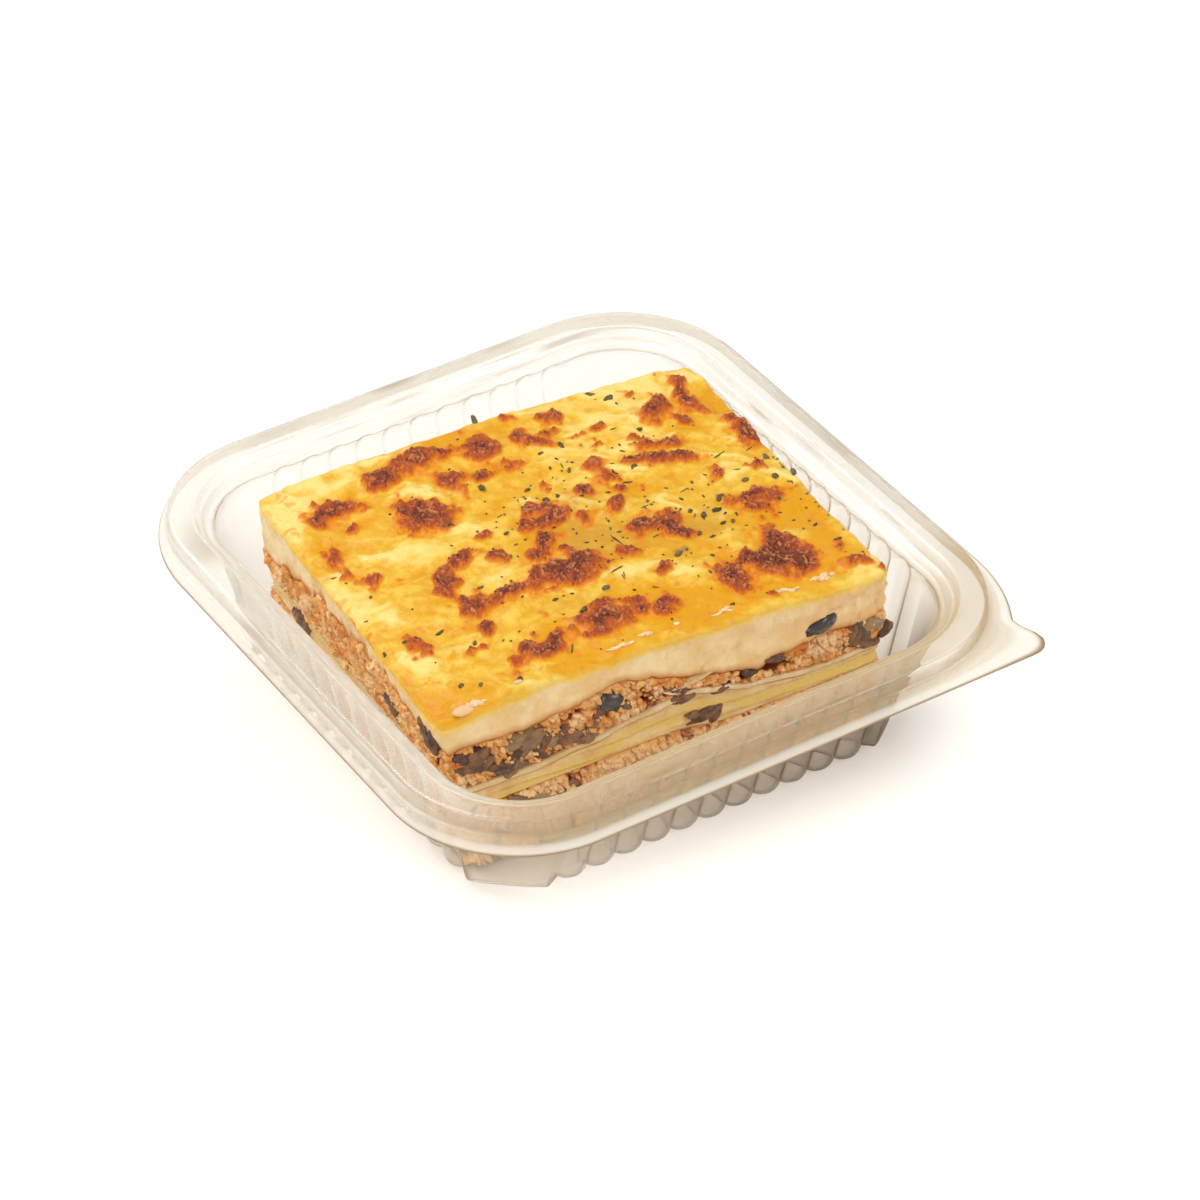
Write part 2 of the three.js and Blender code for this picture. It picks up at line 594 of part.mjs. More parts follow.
Object.entries(layers).forEach(([name, layer]) => {
  let solid = layer.solid;
  pieces.forEach(({ socket }) => {
    solid = solid.subtract(socket);
  });
  if (name === 'bechamel') {
    FLAKES.forEach((flake, seed) => {
      solid = solid.add(makeTopping(flake, FLAKE, seed));
    });
    CHEESE_BITS.forEach((bit, seed) => {
      solid = solid.add(makeTopping(bit, CHEESE, seed));
    });
  }
  group.add(mesh(name, largest(solid), layer.material));
});

pieces.forEach(({ name, solid }) => {
  group.add(mesh(name, solid, name.startsWith('olive') ? FINISH.olive : FINISH.mushroom));
});

export default group;
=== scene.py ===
"""A thick portion of baked lasagna in its open clear tray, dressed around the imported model."""

import math

import bpy
import numpy as np
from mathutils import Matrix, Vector


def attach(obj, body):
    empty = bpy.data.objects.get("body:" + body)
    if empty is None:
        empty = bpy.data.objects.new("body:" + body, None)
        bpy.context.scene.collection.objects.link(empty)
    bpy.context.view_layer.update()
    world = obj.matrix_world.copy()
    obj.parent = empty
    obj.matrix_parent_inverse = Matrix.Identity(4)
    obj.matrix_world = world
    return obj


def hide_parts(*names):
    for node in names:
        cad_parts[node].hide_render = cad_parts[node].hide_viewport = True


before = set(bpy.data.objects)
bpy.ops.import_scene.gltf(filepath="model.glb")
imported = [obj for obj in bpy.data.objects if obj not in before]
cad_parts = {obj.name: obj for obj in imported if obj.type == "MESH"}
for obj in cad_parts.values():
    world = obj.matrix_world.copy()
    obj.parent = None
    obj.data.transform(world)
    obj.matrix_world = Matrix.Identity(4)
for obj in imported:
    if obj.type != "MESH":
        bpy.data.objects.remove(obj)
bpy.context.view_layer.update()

# Clear tray. One sheet of thin clear plastic, drawn down into a mould: a flat floor, eleven flutes
# on each wall with round tops, a step up to a flat rim, an upright skirt and a flange with an ear.
# Lengths are in millimetres and become metres when a mesh is made.
MM = 0.001
RIM_X, RIM_Y = 76.7, 80.0
SHEET = 0.5
CORNER_X, CORNER_Y = 45.2, 48.3
FLUTES = 11
FLUTE_RUN_X, FLUTE_RUN_Y = 41.8, 44.6
FLUTE_STEPS = 12
CORNER_POINTS = 36
FLUTE_FOOT, FLUTE_TOP = 2.0, 0.9
CORNER_BULGE = 0.85
ARCH_TOP, ARCH_DROP, ARCH_ROUND = 35.6, 2.6, 1.5
CREASE_HEIGHT, CREASE_LENGTH = 1.0, 9.0
FOOT_BEVEL = 0.85
BEVEL_TOP = 34.0
FLOOR_Z, FOOT_TOP = 0.3, 3.0
TRAY_PROFILE = [
    # inset on the left and right walls, inset on the front and back walls, height, rounding, steps
    (19.2, 21.7, FLOOR_Z, 2.2, 7),
    (10.9, 10.9, 36.0, 1.1, 6),
    (7.7, 7.7, 36.9, 0.8, 5),
    (6.5, 6.5, 39.2, 0.8, 5),
    (0.3, 0.3, 39.2, 1.2, 7),
    (0.3, 0.3, 35.1, 0.7, 4),
]
WALL_HEIGHTS = [4, 12, 22, 29, 31, 32, 32.7, 33.3, 33.8, 34.2, 34.6, 35.0]
FLANGE_Z = 35.1
FLANGE_ARCS = [
    # centre of each corner's arc, its radius, and the directions between which it runs
    (46.8, 50.1, 33.0, 0, 90),
    (-40.0, 42.1, 41.0, 90, 180),
    (-48.0, -53.0, 33.0, 180, 270),
    (36.0, -50.0, 43.8, -32, 0),
]
EAR = [
    (70.0, -86.0), (71.8, -85.8), (73.4, -85.0), (74.8, -83.4), (75.3, -81.6), (74.8, -79.4),
    (73.6, -77.8),
]
FLOOR_INSETS = (60.0, 40.0, 20.0, 9.0, 7.0, 5.0, 3.2, 1.6, 0.6)
FLANGE_SHARES = (0.3, 0.6, 0.85, 0.96, 1.0)
THIN_EDGE = (0.8, 0.55, 0.3)


def smooth_step(t):
    """0 below 0, 1 above 1, and 3t^2 - 2t^3 between."""
    t = np.clip(t, 0.0, 1.0)
    return t * t * (3.0 - 2.0 * t)


def rounded_profile(corners):
    """Straight lines between the corners, each corner replaced by a quadratic curve that starts and
    ends its rounding away from it, so that insets and height turn together. The first comes from
    the level floor and the last goes on into the level flange."""
    corner = np.array([c[:3] for c in corners], float)
    rows = []
    for k in range(len(corner)):
        before = corner[k - 1] if k else corner[0] + np.array([6.0, 6.0, 0.0])
        after = corner[k + 1] if k + 1 < len(corner) else corner[k] - np.array([3.0, 3.0, 0.0])
        rounding, steps = corners[k][3], corners[k][4]
        start, end = (
            corner[k] + (far - corner[k]) / np.linalg.norm((far - corner[k])[1:]) * rounding
            for far in (before, after)
        )
        t = np.linspace(0.0, 1.0, steps)[:, None]
        rows.append((1 - t) ** 2 * start + 2 * t * (1 - t) * corner[k] + t**2 * end)
    return rows


def tray_ring(x, y, z, bulge, bevel, fullness):
    """One ring of the tray's middle surface: on each side the flutes stand out by bulge times
    1 - |c|^fullness, c running from -1 to 1 across a flute, up to an arch that drops by c^2; each
    corner runs from a quarter round to a bevel."""
    points = []
    share = np.linspace(0.0, 1.0, FLUTES * FLUTE_STEPS + 1)
    across = 2.0 * ((share * FLUTES) % 1.0) - 1.0
    corner = np.linspace(0.0, 1.0, CORNER_POINTS)
    for side in range(4):
        faces_x = side % 2 == 0
        reach, beyond = (x, y) if faces_x else (y, x)
        start_out, start_along = (CORNER_X, CORNER_Y) if faces_x else (CORNER_Y, CORNER_X)
        run = FLUTE_RUN_Y if faces_x else FLUTE_RUN_X
        arch = smooth_step((ARCH_TOP - ARCH_DROP * across**2 - z) / ARCH_ROUND)
        out = reach + bulge * (1.0 - np.abs(across) ** fullness) * arch
        along = run * (2.0 * share - 1.0)
        cosine = (1 - bevel) * np.cos(corner * math.pi / 2) + bevel * (1 - corner)
        sine = (1 - bevel) * np.sin(corner * math.pi / 2) + bevel * corner
        smooth_out = reach + CORNER_BULGE * bulge * smooth_step((BEVEL_TOP + 2 - z) / 4)
        out = np.concatenate([out, start_out + (smooth_out - start_out) * cosine])
        end_along = beyond + smooth_out - reach
        along = np.concatenate([along, start_along + (end_along - start_along) * sine])
        turn_x, turn_y = [(1, 0), (0, 1), (-1, 0), (0, -1)][side]
        points.append(np.stack([out * turn_x - along * turn_y, out * turn_y + along * turn_x], -1))
    ring = np.concatenate(points)
    return np.concatenate([ring, np.full((len(ring), 1), float(z))], 1)


def flange_edge(directions):
    """Where a line from the middle in each direction meets the flange's outline: as far along the
    direction as a x edge / (direction x edge), the edge of the outline from a to b being the one
    that the line crosses, and x the cross product."""
    outline = []
    for cx, cy, radius, start, end in FLANGE_ARCS:
        turn = np.radians(np.linspace(start, end, 40))
        outline.append(np.stack([cx + radius * np.cos(turn), cy + radius * np.sin(turn)], -1))
    outline = np.concatenate([*outline[:3], np.array(EAR), outline[3]])
    angle = np.arctan2(outline[:, 1], outline[:, 0])
    order = np.argsort(angle)
    outline, angle = outline[order], angle[order]
    a, b = outline, np.roll(outline, -1, axis=0)
    heading = np.arctan2(directions[:, 1], directions[:, 0])
    k = (np.searchsorted(angle, heading) - 1) % len(angle)
    unit = directions[:, :2] / np.linalg.norm(directions[:, :2], axis=1, keepdims=True)
    edge = b[k] - a[k]
    reach = a[k, 0] * edge[:, 1] - a[k, 1] * edge[:, 0]
    reach = reach / (unit[:, 0] * edge[:, 1] - unit[:, 1] * edge[:, 0])
    return unit * reach[:, None]


def closed_faces(rows, columns):
    """Faces of a closed sheet of `rows` rings: four-sided between rings, three-sided at its two
    poles, which are the last two points."""
    i, j = np.meshgrid(np.arange(rows - 1), np.arange(columns), indexing="ij")
    a, b = i * columns + j, i * columns + (j + 1) % columns
    quads = np.stack([a, b, b + columns, a + columns], -1).reshape(-1, 4)
    j = np.arange(columns)
    pole = rows * columns
    first = np.stack([np.full(columns, pole), (j + 1) % columns, j], -1)
    last = (rows - 1) * columns
    end = np.stack([np.full(columns, pole + 1), last + j, last + (j + 1) % columns], -1)
    return quads, np.concatenate([first, end])


def make_piece(name, points, quads, triangles, marks=None):
    """A smooth-shaded mesh object at the origin from points in millimetres. If the volume comes out
    negative the faces are turned over. Marks are named numbers, one for each point."""
    p = points.astype(float)
    a, b, c = np.concatenate([quads[:, [0, 1, 2]], quads[:, [0, 2, 3]], triangles]).T
    volume = np.einsum("ij,ij->i", p[a], np.cross(p[b], p[c])).sum()
    if volume < 0:
        quads, triangles = quads[:, ::-1], triangles[:, ::-1]
    mesh = bpy.data.meshes.new(name)
    mesh.from_pydata((p * MM).tolist(), [], quads.tolist() + triangles.tolist())
    mesh.polygons.foreach_set("use_smooth", np.ones(len(mesh.polygons), bool))
    for mark, values in (marks or {}).items():
        attribute = mesh.attributes.new(mark, "FLOAT", "POINT")
        attribute.data.foreach_set("value", values.astype(np.float32))
    mesh.update()
    piece = bpy.data.objects.new(name, mesh)
    bpy.context.scene.collection.objects.link(piece)
    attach(piece, "root")
    return piece


def tray_middle_surface():
    """All rings from the floor's middle out to the flange's edge: floor rings that shrink towards
    the middle and carry the creases, the rounded foot, the wall, the steps, the skirt and the
    flange."""
    rounded = rounded_profile(TRAY_PROFILE)
    foot, shoulder = rounded[0], rounded[1]
    height_share = (np.array(WALL_HEIGHTS) - foot[-1, 2]) / (shoulder[0, 2] - foot[-1, 2])
    wall = foot[-1] + height_share[:, None] * (shoulder[0] - foot[-1])
    stations = np.concatenate([foot, wall] + rounded[1:])
    rings = []
    for in_x, in_y, z in stations:
        fill = (z - FLOOR_Z) / (ARCH_TOP - FLOOR_Z)
        bulge = (FLUTE_FOOT + (FLUTE_TOP - FLUTE_FOOT) * fill) * (z < ARCH_TOP + 0.01)
        bevel = FOOT_BEVEL * (1 - smooth_step((z - FOOT_TOP) / (BEVEL_TOP - FOOT_TOP)))
        fullness = 2.0 + 2.5 * smooth_step(fill)
        rings.append(tray_ring(RIM_X - in_x, RIM_Y - in_y, z, bulge, bevel, fullness))
    across = 2.0 * ((np.linspace(0.0, 1.0, FLUTES * FLUTE_STEPS + 1) * FLUTES) % 1.0) - 1.0
    crease = np.tile(np.concatenate([np.abs(across) ** 5, np.zeros(CORNER_POINTS)]), 4)
    floor = []
    for inwards in FLOOR_INSETS:
        ring = rings[0].copy()
        length = np.linalg.norm(ring[:, :2], axis=1, keepdims=True)
        ring[:, :2] *= np.maximum(1.0 - inwards / length, 0.02)
        ring[:, 2] += CREASE_HEIGHT * crease * smooth_step(1.0 - inwards / CREASE_LENGTH)
        floor.append(ring)
    foot_count = TRAY_PROFILE[0][4]
    for ring in rings[:foot_count]:
        ring[:, 2] += CREASE_HEIGHT * crease * smooth_step(1.0 - ring[:, 2] / FOOT_TOP)
    skirt = rings[-1]
    edge = flange_edge(skirt)
    flange = []
    for share in FLANGE_SHARES:
        ring = skirt.copy()
        ring[:, :2] = skirt[:, :2] + share * (edge - skirt[:, :2])
        ring[:, 2] = FLANGE_Z
        flange.append(ring)
    return np.stack(floor + rings + flange)


def hashed(cells, seed):
    """A repeatable number from 0 to 1 for each whole-number place: its three numbers times large
    primes, folded together."""
    n = cells[..., 0] * 374761393 ^ cells[..., 1] * 668265263
    n = n ^ cells[..., 2] * 1274126177 ^ seed * 97531
    n &= 0xFFFFFFFF
    n = ((n ^ n >> 13) * 1103515245) & 0xFFFFFFFF
    return (n ^ n >> 16) / 4294967295.0


def soft_noise(x, y, z, seed):
    """Smooth noise from -1 to 1: random values at whole-number points, blended inside each cube
    with the smooth step."""
    place = np.stack(np.broadcast_arrays(x, y, z), -1).astype(float)
    cell = np.floor(place).astype(np.int64)
    t = smooth_step(place - cell)
    total = 0.0
    for corner in range(8):
        step = np.array([corner & 1, corner >> 1 & 1, corner >> 2 & 1])
        weight = np.prod(np.where(step, t, 1.0 - t), axis=-1)
        total = total + weight * hashed(cell + step, seed)
    return 2.0 * total - 1.0


def sheet_of_plastic(middle, thickness):
    """A closed wall: the middle surface moved half its thickness each way along its normal, the
    inner face first, then back along the outer face, with a pole at the middle of each. It thins
    over its last three rings, the flange's edge. The mark line is 1 on that edge, where one looks
    along the sheet, nearly half where the skirt turns into the flange, and runs in faint streaks
    along rim and skirt, where the sheet was drawn thin. The mark level is 1 on the flange."""
    around = np.roll(middle, -1, axis=1) - np.roll(middle, 1, axis=1)
    outwards = np.gradient(middle, axis=0)
    normal = np.cross(around, outwards)
    normal /= np.linalg.norm(normal, axis=-1, keepdims=True) + 1e-9
    thick = np.full((len(middle), 1, 1), thickness)
    thick[-len(THIN_EDGE):, 0, 0] *= THIN_EDGE
    inner, outer = middle - normal * thick / 2, middle + normal * thick / 2
    rows = np.concatenate([inner, outer[::-1]])
    poles = np.stack([inner[0].mean(0), outer[0].mean(0)])
    points = np.concatenate([rows.reshape(-1, 3), poles])
    turn = np.arange(middle.shape[1]) * 2 * math.pi / middle.shape[1]
    ring = 0.8 * np.arange(len(middle))[:, None]
    drawn = soft_noise(ring, 5 * np.cos(turn), 5 * np.sin(turn), 13)
    line = 0.9 * np.clip(drawn, 0.0, 1.0) * (middle[..., 2] > FLANGE_Z + 0.2)
    line[-2:], line[-3], line[-9:-5] = 1.0, 0.25, 0.45
    level = np.zeros(middle.shape[:2])
    level[-4:] = 1.0
    marks = {
        name: np.append(np.concatenate([mark, mark[::-1]]), [0.0, 0.0])
        for name, mark in (("line", line), ("level", level))
    }
    return points, *closed_faces(len(rows), middle.shape[1]), marks


def colour(code):
    """A screen colour such as f5b83a as the linear colour that a shader takes."""
    c = np.array([int(code[k:k + 2], 16) for k in (0, 2, 4)]) / 255.0
    linear = np.where(c <= 0.04045, c / 12.92, ((c + 0.055) / 1.055) ** 2.4)
    return (*linear.tolist(), 1.0)


def set_inputs(tree, node, inputs):
    """Sets inputs of a node to plain values, or joins them to outputs of other nodes."""
    for socket, value in inputs.items():
        if isinstance(value, bpy.types.NodeSocket):
            tree.links.new(value, node.inputs[socket])
        else:
            node.inputs[socket].default_value = value


def add_node(tree, kind, inputs=None, **settings):
    """A shader node of a kind, with its settings and its inputs."""
    node = tree.nodes.new("ShaderNode" + kind)
    for name, value in settings.items():
        setattr(node, name, value)
    set_inputs(tree, node, inputs or {})
    return node


def start_material(name, inputs=None):
    """A material with one Principled shader that has the given inputs."""
    material = bpy.data.materials.new(name)
    material.use_nodes = True
    shader = material.node_tree.nodes["Principled BSDF"]
    set_inputs(material.node_tree, shader, inputs or {})
    return material, material.node_tree, shader


def spread_out(tree, value, low, high, bottom=0.0, top=1.0, soft=True):
    """A value stretched so that low becomes bottom and high becomes top, with a smooth step between
    them if soft, and else a straight line."""
    inputs = {"Value": value, "From Min": low, "From Max": high, "To Min": bottom, "To Max": top}
    way = "SMOOTHSTEP" if soft else "LINEAR"
    return add_node(tree, "MapRange", inputs, interpolation_type=way).outputs["Result"]


def calculate(tree, operation, *values, clamp=False):
    """The result of one step of arithmetic on values."""
    inputs = dict(enumerate(values))
    return add_node(tree, "Math", inputs, operation=operation, use_clamp=clamp).outputs["Value"]


def mix_colours(tree, factor, first, second):
    """The first colour where the factor is 0, the second where it is 1."""
    inputs = {"Factor": factor, "A": first, "B": second}
    return add_node(tree, "Mix", inputs, data_type="RGBA").outputs["Result"]


def mark_value(tree, mark):
    """The value of a mark of the mesh."""
    return add_node(tree, "Attribute", attribute_name=mark).outputs["Fac"]


def mix_by_marks(tree, tone, *rows):
    """Mixes plain colours over a colour, one after the other, each where a mark of the mesh runs
    from low to high."""
    for mark, code, low, high in rows:
        share = spread_out(tree, mark_value(tree, mark), low, high)
        tone = mix_colours(tree, share, tone, colour(code))
    return tone


# Haze tints low and high on the wall, the low ones darker as painted shade: first the back and the
# left side, which show the white table behind them, then the front, whose darker tints paint the
# shade of the space between the wall and the food.
HAZE_AND_PAINTED_SHADE_TINTS = (("c9beaa", "eeeae1"), ("6e5a42", "d2bf9d"))
CLEAR_PLASTIC = {
    "Base Color": colour("fbf9f4"), "Roughness": 0.05, "IOR": 1.1, "Transmission Weight": 1.0,
    "Coat Weight": 0.8, "Coat Roughness": 0.16, "Coat IOR": 1.5,
}

clear_plastic, tree, shader = start_material("clear plastic", CLEAR_PLASTIC)
place = add_node(tree, "TexCoord").outputs["Object"]
ripple = add_node(tree, "TexNoise", {"Vector": place, "Scale": 95.0, "Detail": 1.0}).outputs["Fac"]
waves = {"Strength": 0.15, "Distance": 0.6 * MM, "Height": ripple}
waves = add_node(tree, "Bump", waves).outputs["Normal"]
set_inputs(tree, shader, {"Normal": waves, "Coat Normal": waves})
up = add_node(tree, "SeparateXYZ", {"Vector": place}).outputs["Z"]
forward = {0: place, 1: (0.15, -0.9, 0.0)}
forward = add_node(tree, "VectorMath", forward, operation="DOT_PRODUCT").outputs["Value"]
# Painted shade: front and height pick the darker tints at the front and low on the wall.
front = spread_out(tree, forward, 38 * MM, 62 * MM)
height = spread_out(tree, up, 20 * MM, 36.2 * MM)
tints = [mix_colours(tree, height, colour(low), colour(high)) for low, high in HAZE_AND_PAINTED_SHADE_TINTS]
tint = mix_colours(tree, front, *tints)
tint = mix_by_marks(tree, tint, ("level", "f0ece4", 0.0, 1.0), ("line", "a18a66", 0.2, 1.2))
matt = add_node(tree, "BsdfDiffuse", {"Color": tint}).outputs["BSDF"]
through = add_node(tree, "BsdfTranslucent", {"Color": tint}).outputs["BSDF"]
haze = add_node(tree, "MixShader", {1: matt, 2: through}).outputs["Shader"]
facing = add_node(tree, "LayerWeight", {"Blend": 0.5}).outputs["Facing"]
slope = spread_out(tree, facing, 0.25, 0.95, 0.02, 0.66, soft=False)
# Painted shade: the front wall gets more of the darker haze.
front_shade_share = spread_out(tree, front, 0.0, 1.0, 0.6, 1.15, soft=False)
rim_share = spread_out(tree, up, 33.5 * MM, 35.2 * MM, 0.0, 0.15)
amount = calculate(tree, "MULTIPLY", slope, front_shade_share)
amount = calculate(tree, "ADD", amount, rim_share, clamp=True)
amount = calculate(tree, "MULTIPLY_ADD", mark_value(tree, "level"), 0.16, amount, clamp=True)
amount = calculate(tree, "MULTIPLY_ADD", mark_value(tree, "line"), 0.4, amount, clamp=True)
film = {"Fac": amount, 1: shader.outputs["BSDF"], 2: haze}
film = add_node(tree, "MixShader", film).outputs["Shader"]
passing = add_node(tree, "BsdfTransparent", {"Color": (0.9, 0.885, 0.86, 1.0)}).outputs["BSDF"]
shadow = add_node(tree, "LightPath").outputs["Is Shadow Ray"]
both = add_node(tree, "MixShader", {"Fac": shadow, 1: film, 2: passing}).outputs["Shader"]
set_inputs(tree, tree.nodes["Material Output"], {"Surface": both})

tray = make_piece("clear_tray", *sheet_of_plastic(tray_middle_surface(), SHEET))
tray.data.materials.append(clear_plastic)
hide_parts("tray")

# Lower filling. Minced meat in tomato, cut with a knife, with rounded crumbs standing out of the
# cut. It is the bottom layer of the portion and lies straight on the tray's floor.
FOOD_FLOOR = 0.9
FOOD_HEIGHT = 40.0
TOP_CORNERS = np.array([[-60.3, -38.0], [55.4, -51.0], [64.2, 46.3], [-53.3, 57.2]])
FOOT_CORNERS = np.array([[-56.2, -45.6], [51.0, -51.5], [56.0, 45.0], [-51.0, 52.0]])
SIDE_LENGTHS = np.array([115.9, 97.0, 116.5, 95.0])
SIDE_STARTS = np.concatenate([[0.0], np.cumsum(SIDE_LENGTHS)])
LEFT = SIDE_STARTS[3]
CORNER_PULL, CORNER_SHARPNESS = 0.022, 14
SAUCE_LINE = [
    # position round the block, the side's number plus the fraction of it, and height
    (0, 15.5), (0.25, 16.5), (0.5, 17.6), (0.62, 16), (1, 17), (1.5, 16), (2, 17), (3, 15.5),
]
COLUMNS = 1400


def crumbs(x, y, seed):
    """Rounded crumbs: one centre in each unit square, moved about inside it. Gives the height of a
    dome round the nearest centre, cut by a crevice halfway to the next, and each crumb's number."""
    i, j = np.floor(x).astype(np.int64), np.floor(y).astype(np.int64)
    nearest = np.full(np.shape(x), 9.0)
    second = np.full(np.shape(x), 9.0)
    number = np.zeros(np.shape(x))
    for step in range(9):
        cell = np.stack([i + step % 3 - 1, j + step // 3 - 1, np.zeros_like(i)], -1)
        away = np.hypot(x - cell[..., 0] - 0.15 - 0.7 * hashed(cell, seed),
                        y - cell[..., 1] - 0.15 - 0.7 * hashed(cell, seed + 1))
        closer = away < nearest
        second = np.where(closer, nearest, np.minimum(second, away))
        number = np.where(closer, hashed(cell, seed + 2), number)
        nearest = np.minimum(nearest, away)
    dome = np.sqrt(np.clip(1.0 - (nearest / 0.85) ** 2, 0.0, 1.0))
    return dome * smooth_step((second - nearest) / 0.3), number


def block_point(u, v, z):
    """A place in the portion: u along the long cut face and v back from it, 0 to 1, at a height;
    straight between the corners of foot and top, with the upright edges eased in a little."""
    height = ((np.asarray(z, float) - FOOD_FLOOR) / FOOD_HEIGHT)[..., None]
    u, v = np.asarray(u, float)[..., None], np.asarray(v, float)[..., None]
    corner = [FOOT_CORNERS[k] + (TOP_CORNERS[k] - FOOT_CORNERS[k]) * height for k in range(4)]
    front, back = corner[0] * (1 - u) + corner[1] * u, corner[3] * (1 - u) + corner[2] * u
    flat = front * (1 - v) + back * v
    middle = (corner[0] + corner[1] + corner[2] + corner[3]) / 4
    pull = 1.0 - CORNER_PULL * (np.abs(2 * u - 1) * np.abs(2 * v - 1)) ** CORNER_SHARPNESS
    return np.concatenate([middle + (flat - middle) * pull, np.asarray(z, float)[..., None]], -1)


def around_block(position):
    """Turns a position round the block, the side's number plus the fraction of it, into u and v."""
    side, t = np.floor(position) % 4, position % 1.0
    u = np.select([side == 0, side == 1, side == 2], [t, np.ones_like(t), 1 - t], np.zeros_like(t))
    v = np.select([side == 0, side == 1, side == 2], [np.zeros_like(t), t, np.ones_like(t)], 1 - t)
    return u, v


def layer_line(keys, position):
    """The height of a layer's edge round the block, blended between stated heights."""
    at = np.array([k[0] for k in keys] + [4 + keys[0][0]], float)
    height = np.array([k[1] for k in keys] + [keys[0][1]], float)
    k = np.clip(np.searchsorted(at, position, side="right") - 1, 0, len(keys) - 1)
    t = smooth_step((position - at[k]) / (at[k + 1] - at[k]))
    return height[k] + (height[k + 1] - height[k]) * t


def outward_from(rings):
    """The level direction out of rings round the block: square to the line between each point's
    two neighbours."""
    step = np.roll(rings, -1, axis=1) - np.roll(rings, 1, axis=1)
    outward = np.stack([step[..., 1], -step[..., 0]], -1)
    return outward / np.linalg.norm(outward, axis=-1, keepdims=True)


def distance_round(position):
    """A position round the block as a distance from the left end of the long cut face."""
    side = np.floor(position).astype(int) % 4
    return SIDE_STARTS[side] + (position % 1.0) * SIDE_LENGTHS[side]


def side_rows(low, high, rows, relief):
    """Rings up the cut sides between two lines, each point moved outwards by the relief, which is
    worked out from the distance round the block and the height. The first and last ring stay in."""
    position = np.arange(COLUMNS) * 4.0 / COLUMNS
    share = np.linspace(0.0, 1.0, rows)[:, None]
    z = low(position) + (high(position) - low(position)) * share
    base = block_point(*around_block(np.broadcast_to(position, z.shape)), z)
    push, marks = relief(np.broadcast_to(distance_round(position), z.shape), z)
    push = push * smooth_step(np.minimum(share, 1 - share) * rows / 1.5)
    base[..., :2] += outward_from(base) * push[..., None]
    return base, marks


def make_layer(name, low, high, rows, relief):
    """A closed layer: its side rings and a level pole in the middle of its underside and of its
    top."""
    rings, marks = side_rows(low, high, rows, relief)
    poles = np.stack([rings[0].mean(0), rings[-1].mean(0)])
    points = np.concatenate([rings.reshape(-1, 3), poles])
    marks = {mark: np.concatenate([values.ravel(), [0.5, 0.5]]) for mark, values in marks.items()}
    return make_piece(name, points, *closed_faces(*rings.shape[:2]), marks)


def turned_by(degrees, first, second):
    """Two lengths or directions at right angles along axes turned by an angle: first cos + second
    sin, and second cos - first sin."""
    c, s = math.cos(math.radians(degrees)), math.sin(math.radians(degrees))
    return first * c + second * s, second * c - first * s


def spots(distance, z, places):
    """How deep a point lies in the nearest of some soft ellipses, given as distance round the
    block, height, width, height of the ellipse and tilt in degrees: 1 less the distance from its
    middle in half widths and heights, 0 outside."""
    depth = np.zeros(np.shape(z))
    for at, up, width, tall, tilt in places:
        p, q = turned_by(tilt, distance - at, z - up)
        p, q = p / (width / 2), q / (tall / 2)
        depth = np.maximum(depth, 1.0 - np.sqrt(p * p + q * q))
    return depth


MEAT_HOLLOWS = [
    # distance round the block, height, width and height of the hollow, tilt in degrees
    (82, 27.5, 20, 4.2, -8), (77, 26.6, 6, 3, -25), (86, 28.8, 4, 5, 0), (32, 31.2, 8, 2.2, 15),
    (29, 22.9, 6, 2, 0), (51, 29, 5, 2, -30), (LEFT + 47, 24, 6, 3, 20), (LEFT + 52, 22, 6, 3, 20),
    (LEFT + 59, 30, 7, 2.4, 20), (LEFT + 20, 19, 6, 4, 0), (LEFT + 70, 16.5, 4, 2, 20),
    (LEFT + 28, 18, 4, 2, 0), (LEFT + 90, 27, 5, 3, 40),
]
PALE_CHUNKS = [
    (33, 30, 6, 3.2, 0), (46, 26.6, 8, 4.6, 10), (63, 27, 8, 2, 10), (54, 30, 5, 5, 0),
    (98, 28.5, 12, 8, 0), (3, 23.5, 7, 6, -20), (LEFT + 59, 27, 9, 6, 15),
    (LEFT + 57, 19.5, 8, 5, 0), (LEFT + 84, 24, 7, 6, 20), (LEFT + 12, 24, 10, 7, 10),
    (LEFT + 27, 28, 12, 6, 40),
]


def meat_relief(distance, z):
    """Two sizes of crumbs, the coarse ones stretched upwards on the left cut face, and fine fibres,
    less pits and deep hollows; and for each point its crumb's number, its shade in crevices and how
    pale it is."""
    stretch = np.where(distance > LEFT, 1.7, 1.0)
    lean = np.where(distance > LEFT, 0.5, 0.15)
    x = distance + lean * z + 1.2 * soft_noise(distance / 4, z / 4, 0, 31)
    y = z / stretch + 1.2 * soft_noise(distance / 4, z / 4, 5, 32)
    coarse, number = crumbs(x / 2.4, y / 2.0, 41)
    fine, small = crumbs(x / 0.9, y / 0.85, 47)
    grain = soft_noise(distance / 0.6, z / 0.6, 0, 53)
    fibre = soft_noise(x / 0.5, y / 1.6, 0, 55)
    hollow = smooth_step(2.2 * spots(distance, z, MEAT_HOLLOWS) + 0.3 * grain)
    pits = smooth_step(1.8 * soft_noise(x / 3.2, y / 2.6, 6, 56) - 0.45)
    pale = smooth_step(2.0 * spots(distance, z, PALE_CHUNKS) + 0.25 * soft_noise(x, y, 2, 59))
    lower_layer = smooth_step((18.0 - z) / 2.0)
    lower_layer = lower_layer * smooth_step(0.8 + 0.7 * soft_noise(x / 5, y / 4, 4, 57))
    pale = np.maximum(pale, 0.75 * lower_layer)
    push = 1.1 * coarse + 0.6 * fine + 0.12 * grain + 0.15 * fibre
    push = push - 2.8 * hollow - 1.2 * pits + 0.7 * pale - 0.4
    shade = np.clip(0.15 + 0.5 * coarse + 0.4 * fine - 0.9 * hollow - 0.6 * pits, 0.0, 1.0)
    patch = 0.5 + 0.5 * soft_noise(x / 6, y / 5, 9, 58)
    return push, {"crumb": 0.3 * number + 0.2 * small + 0.5 * patch, "shade": shade, "pale": pale}


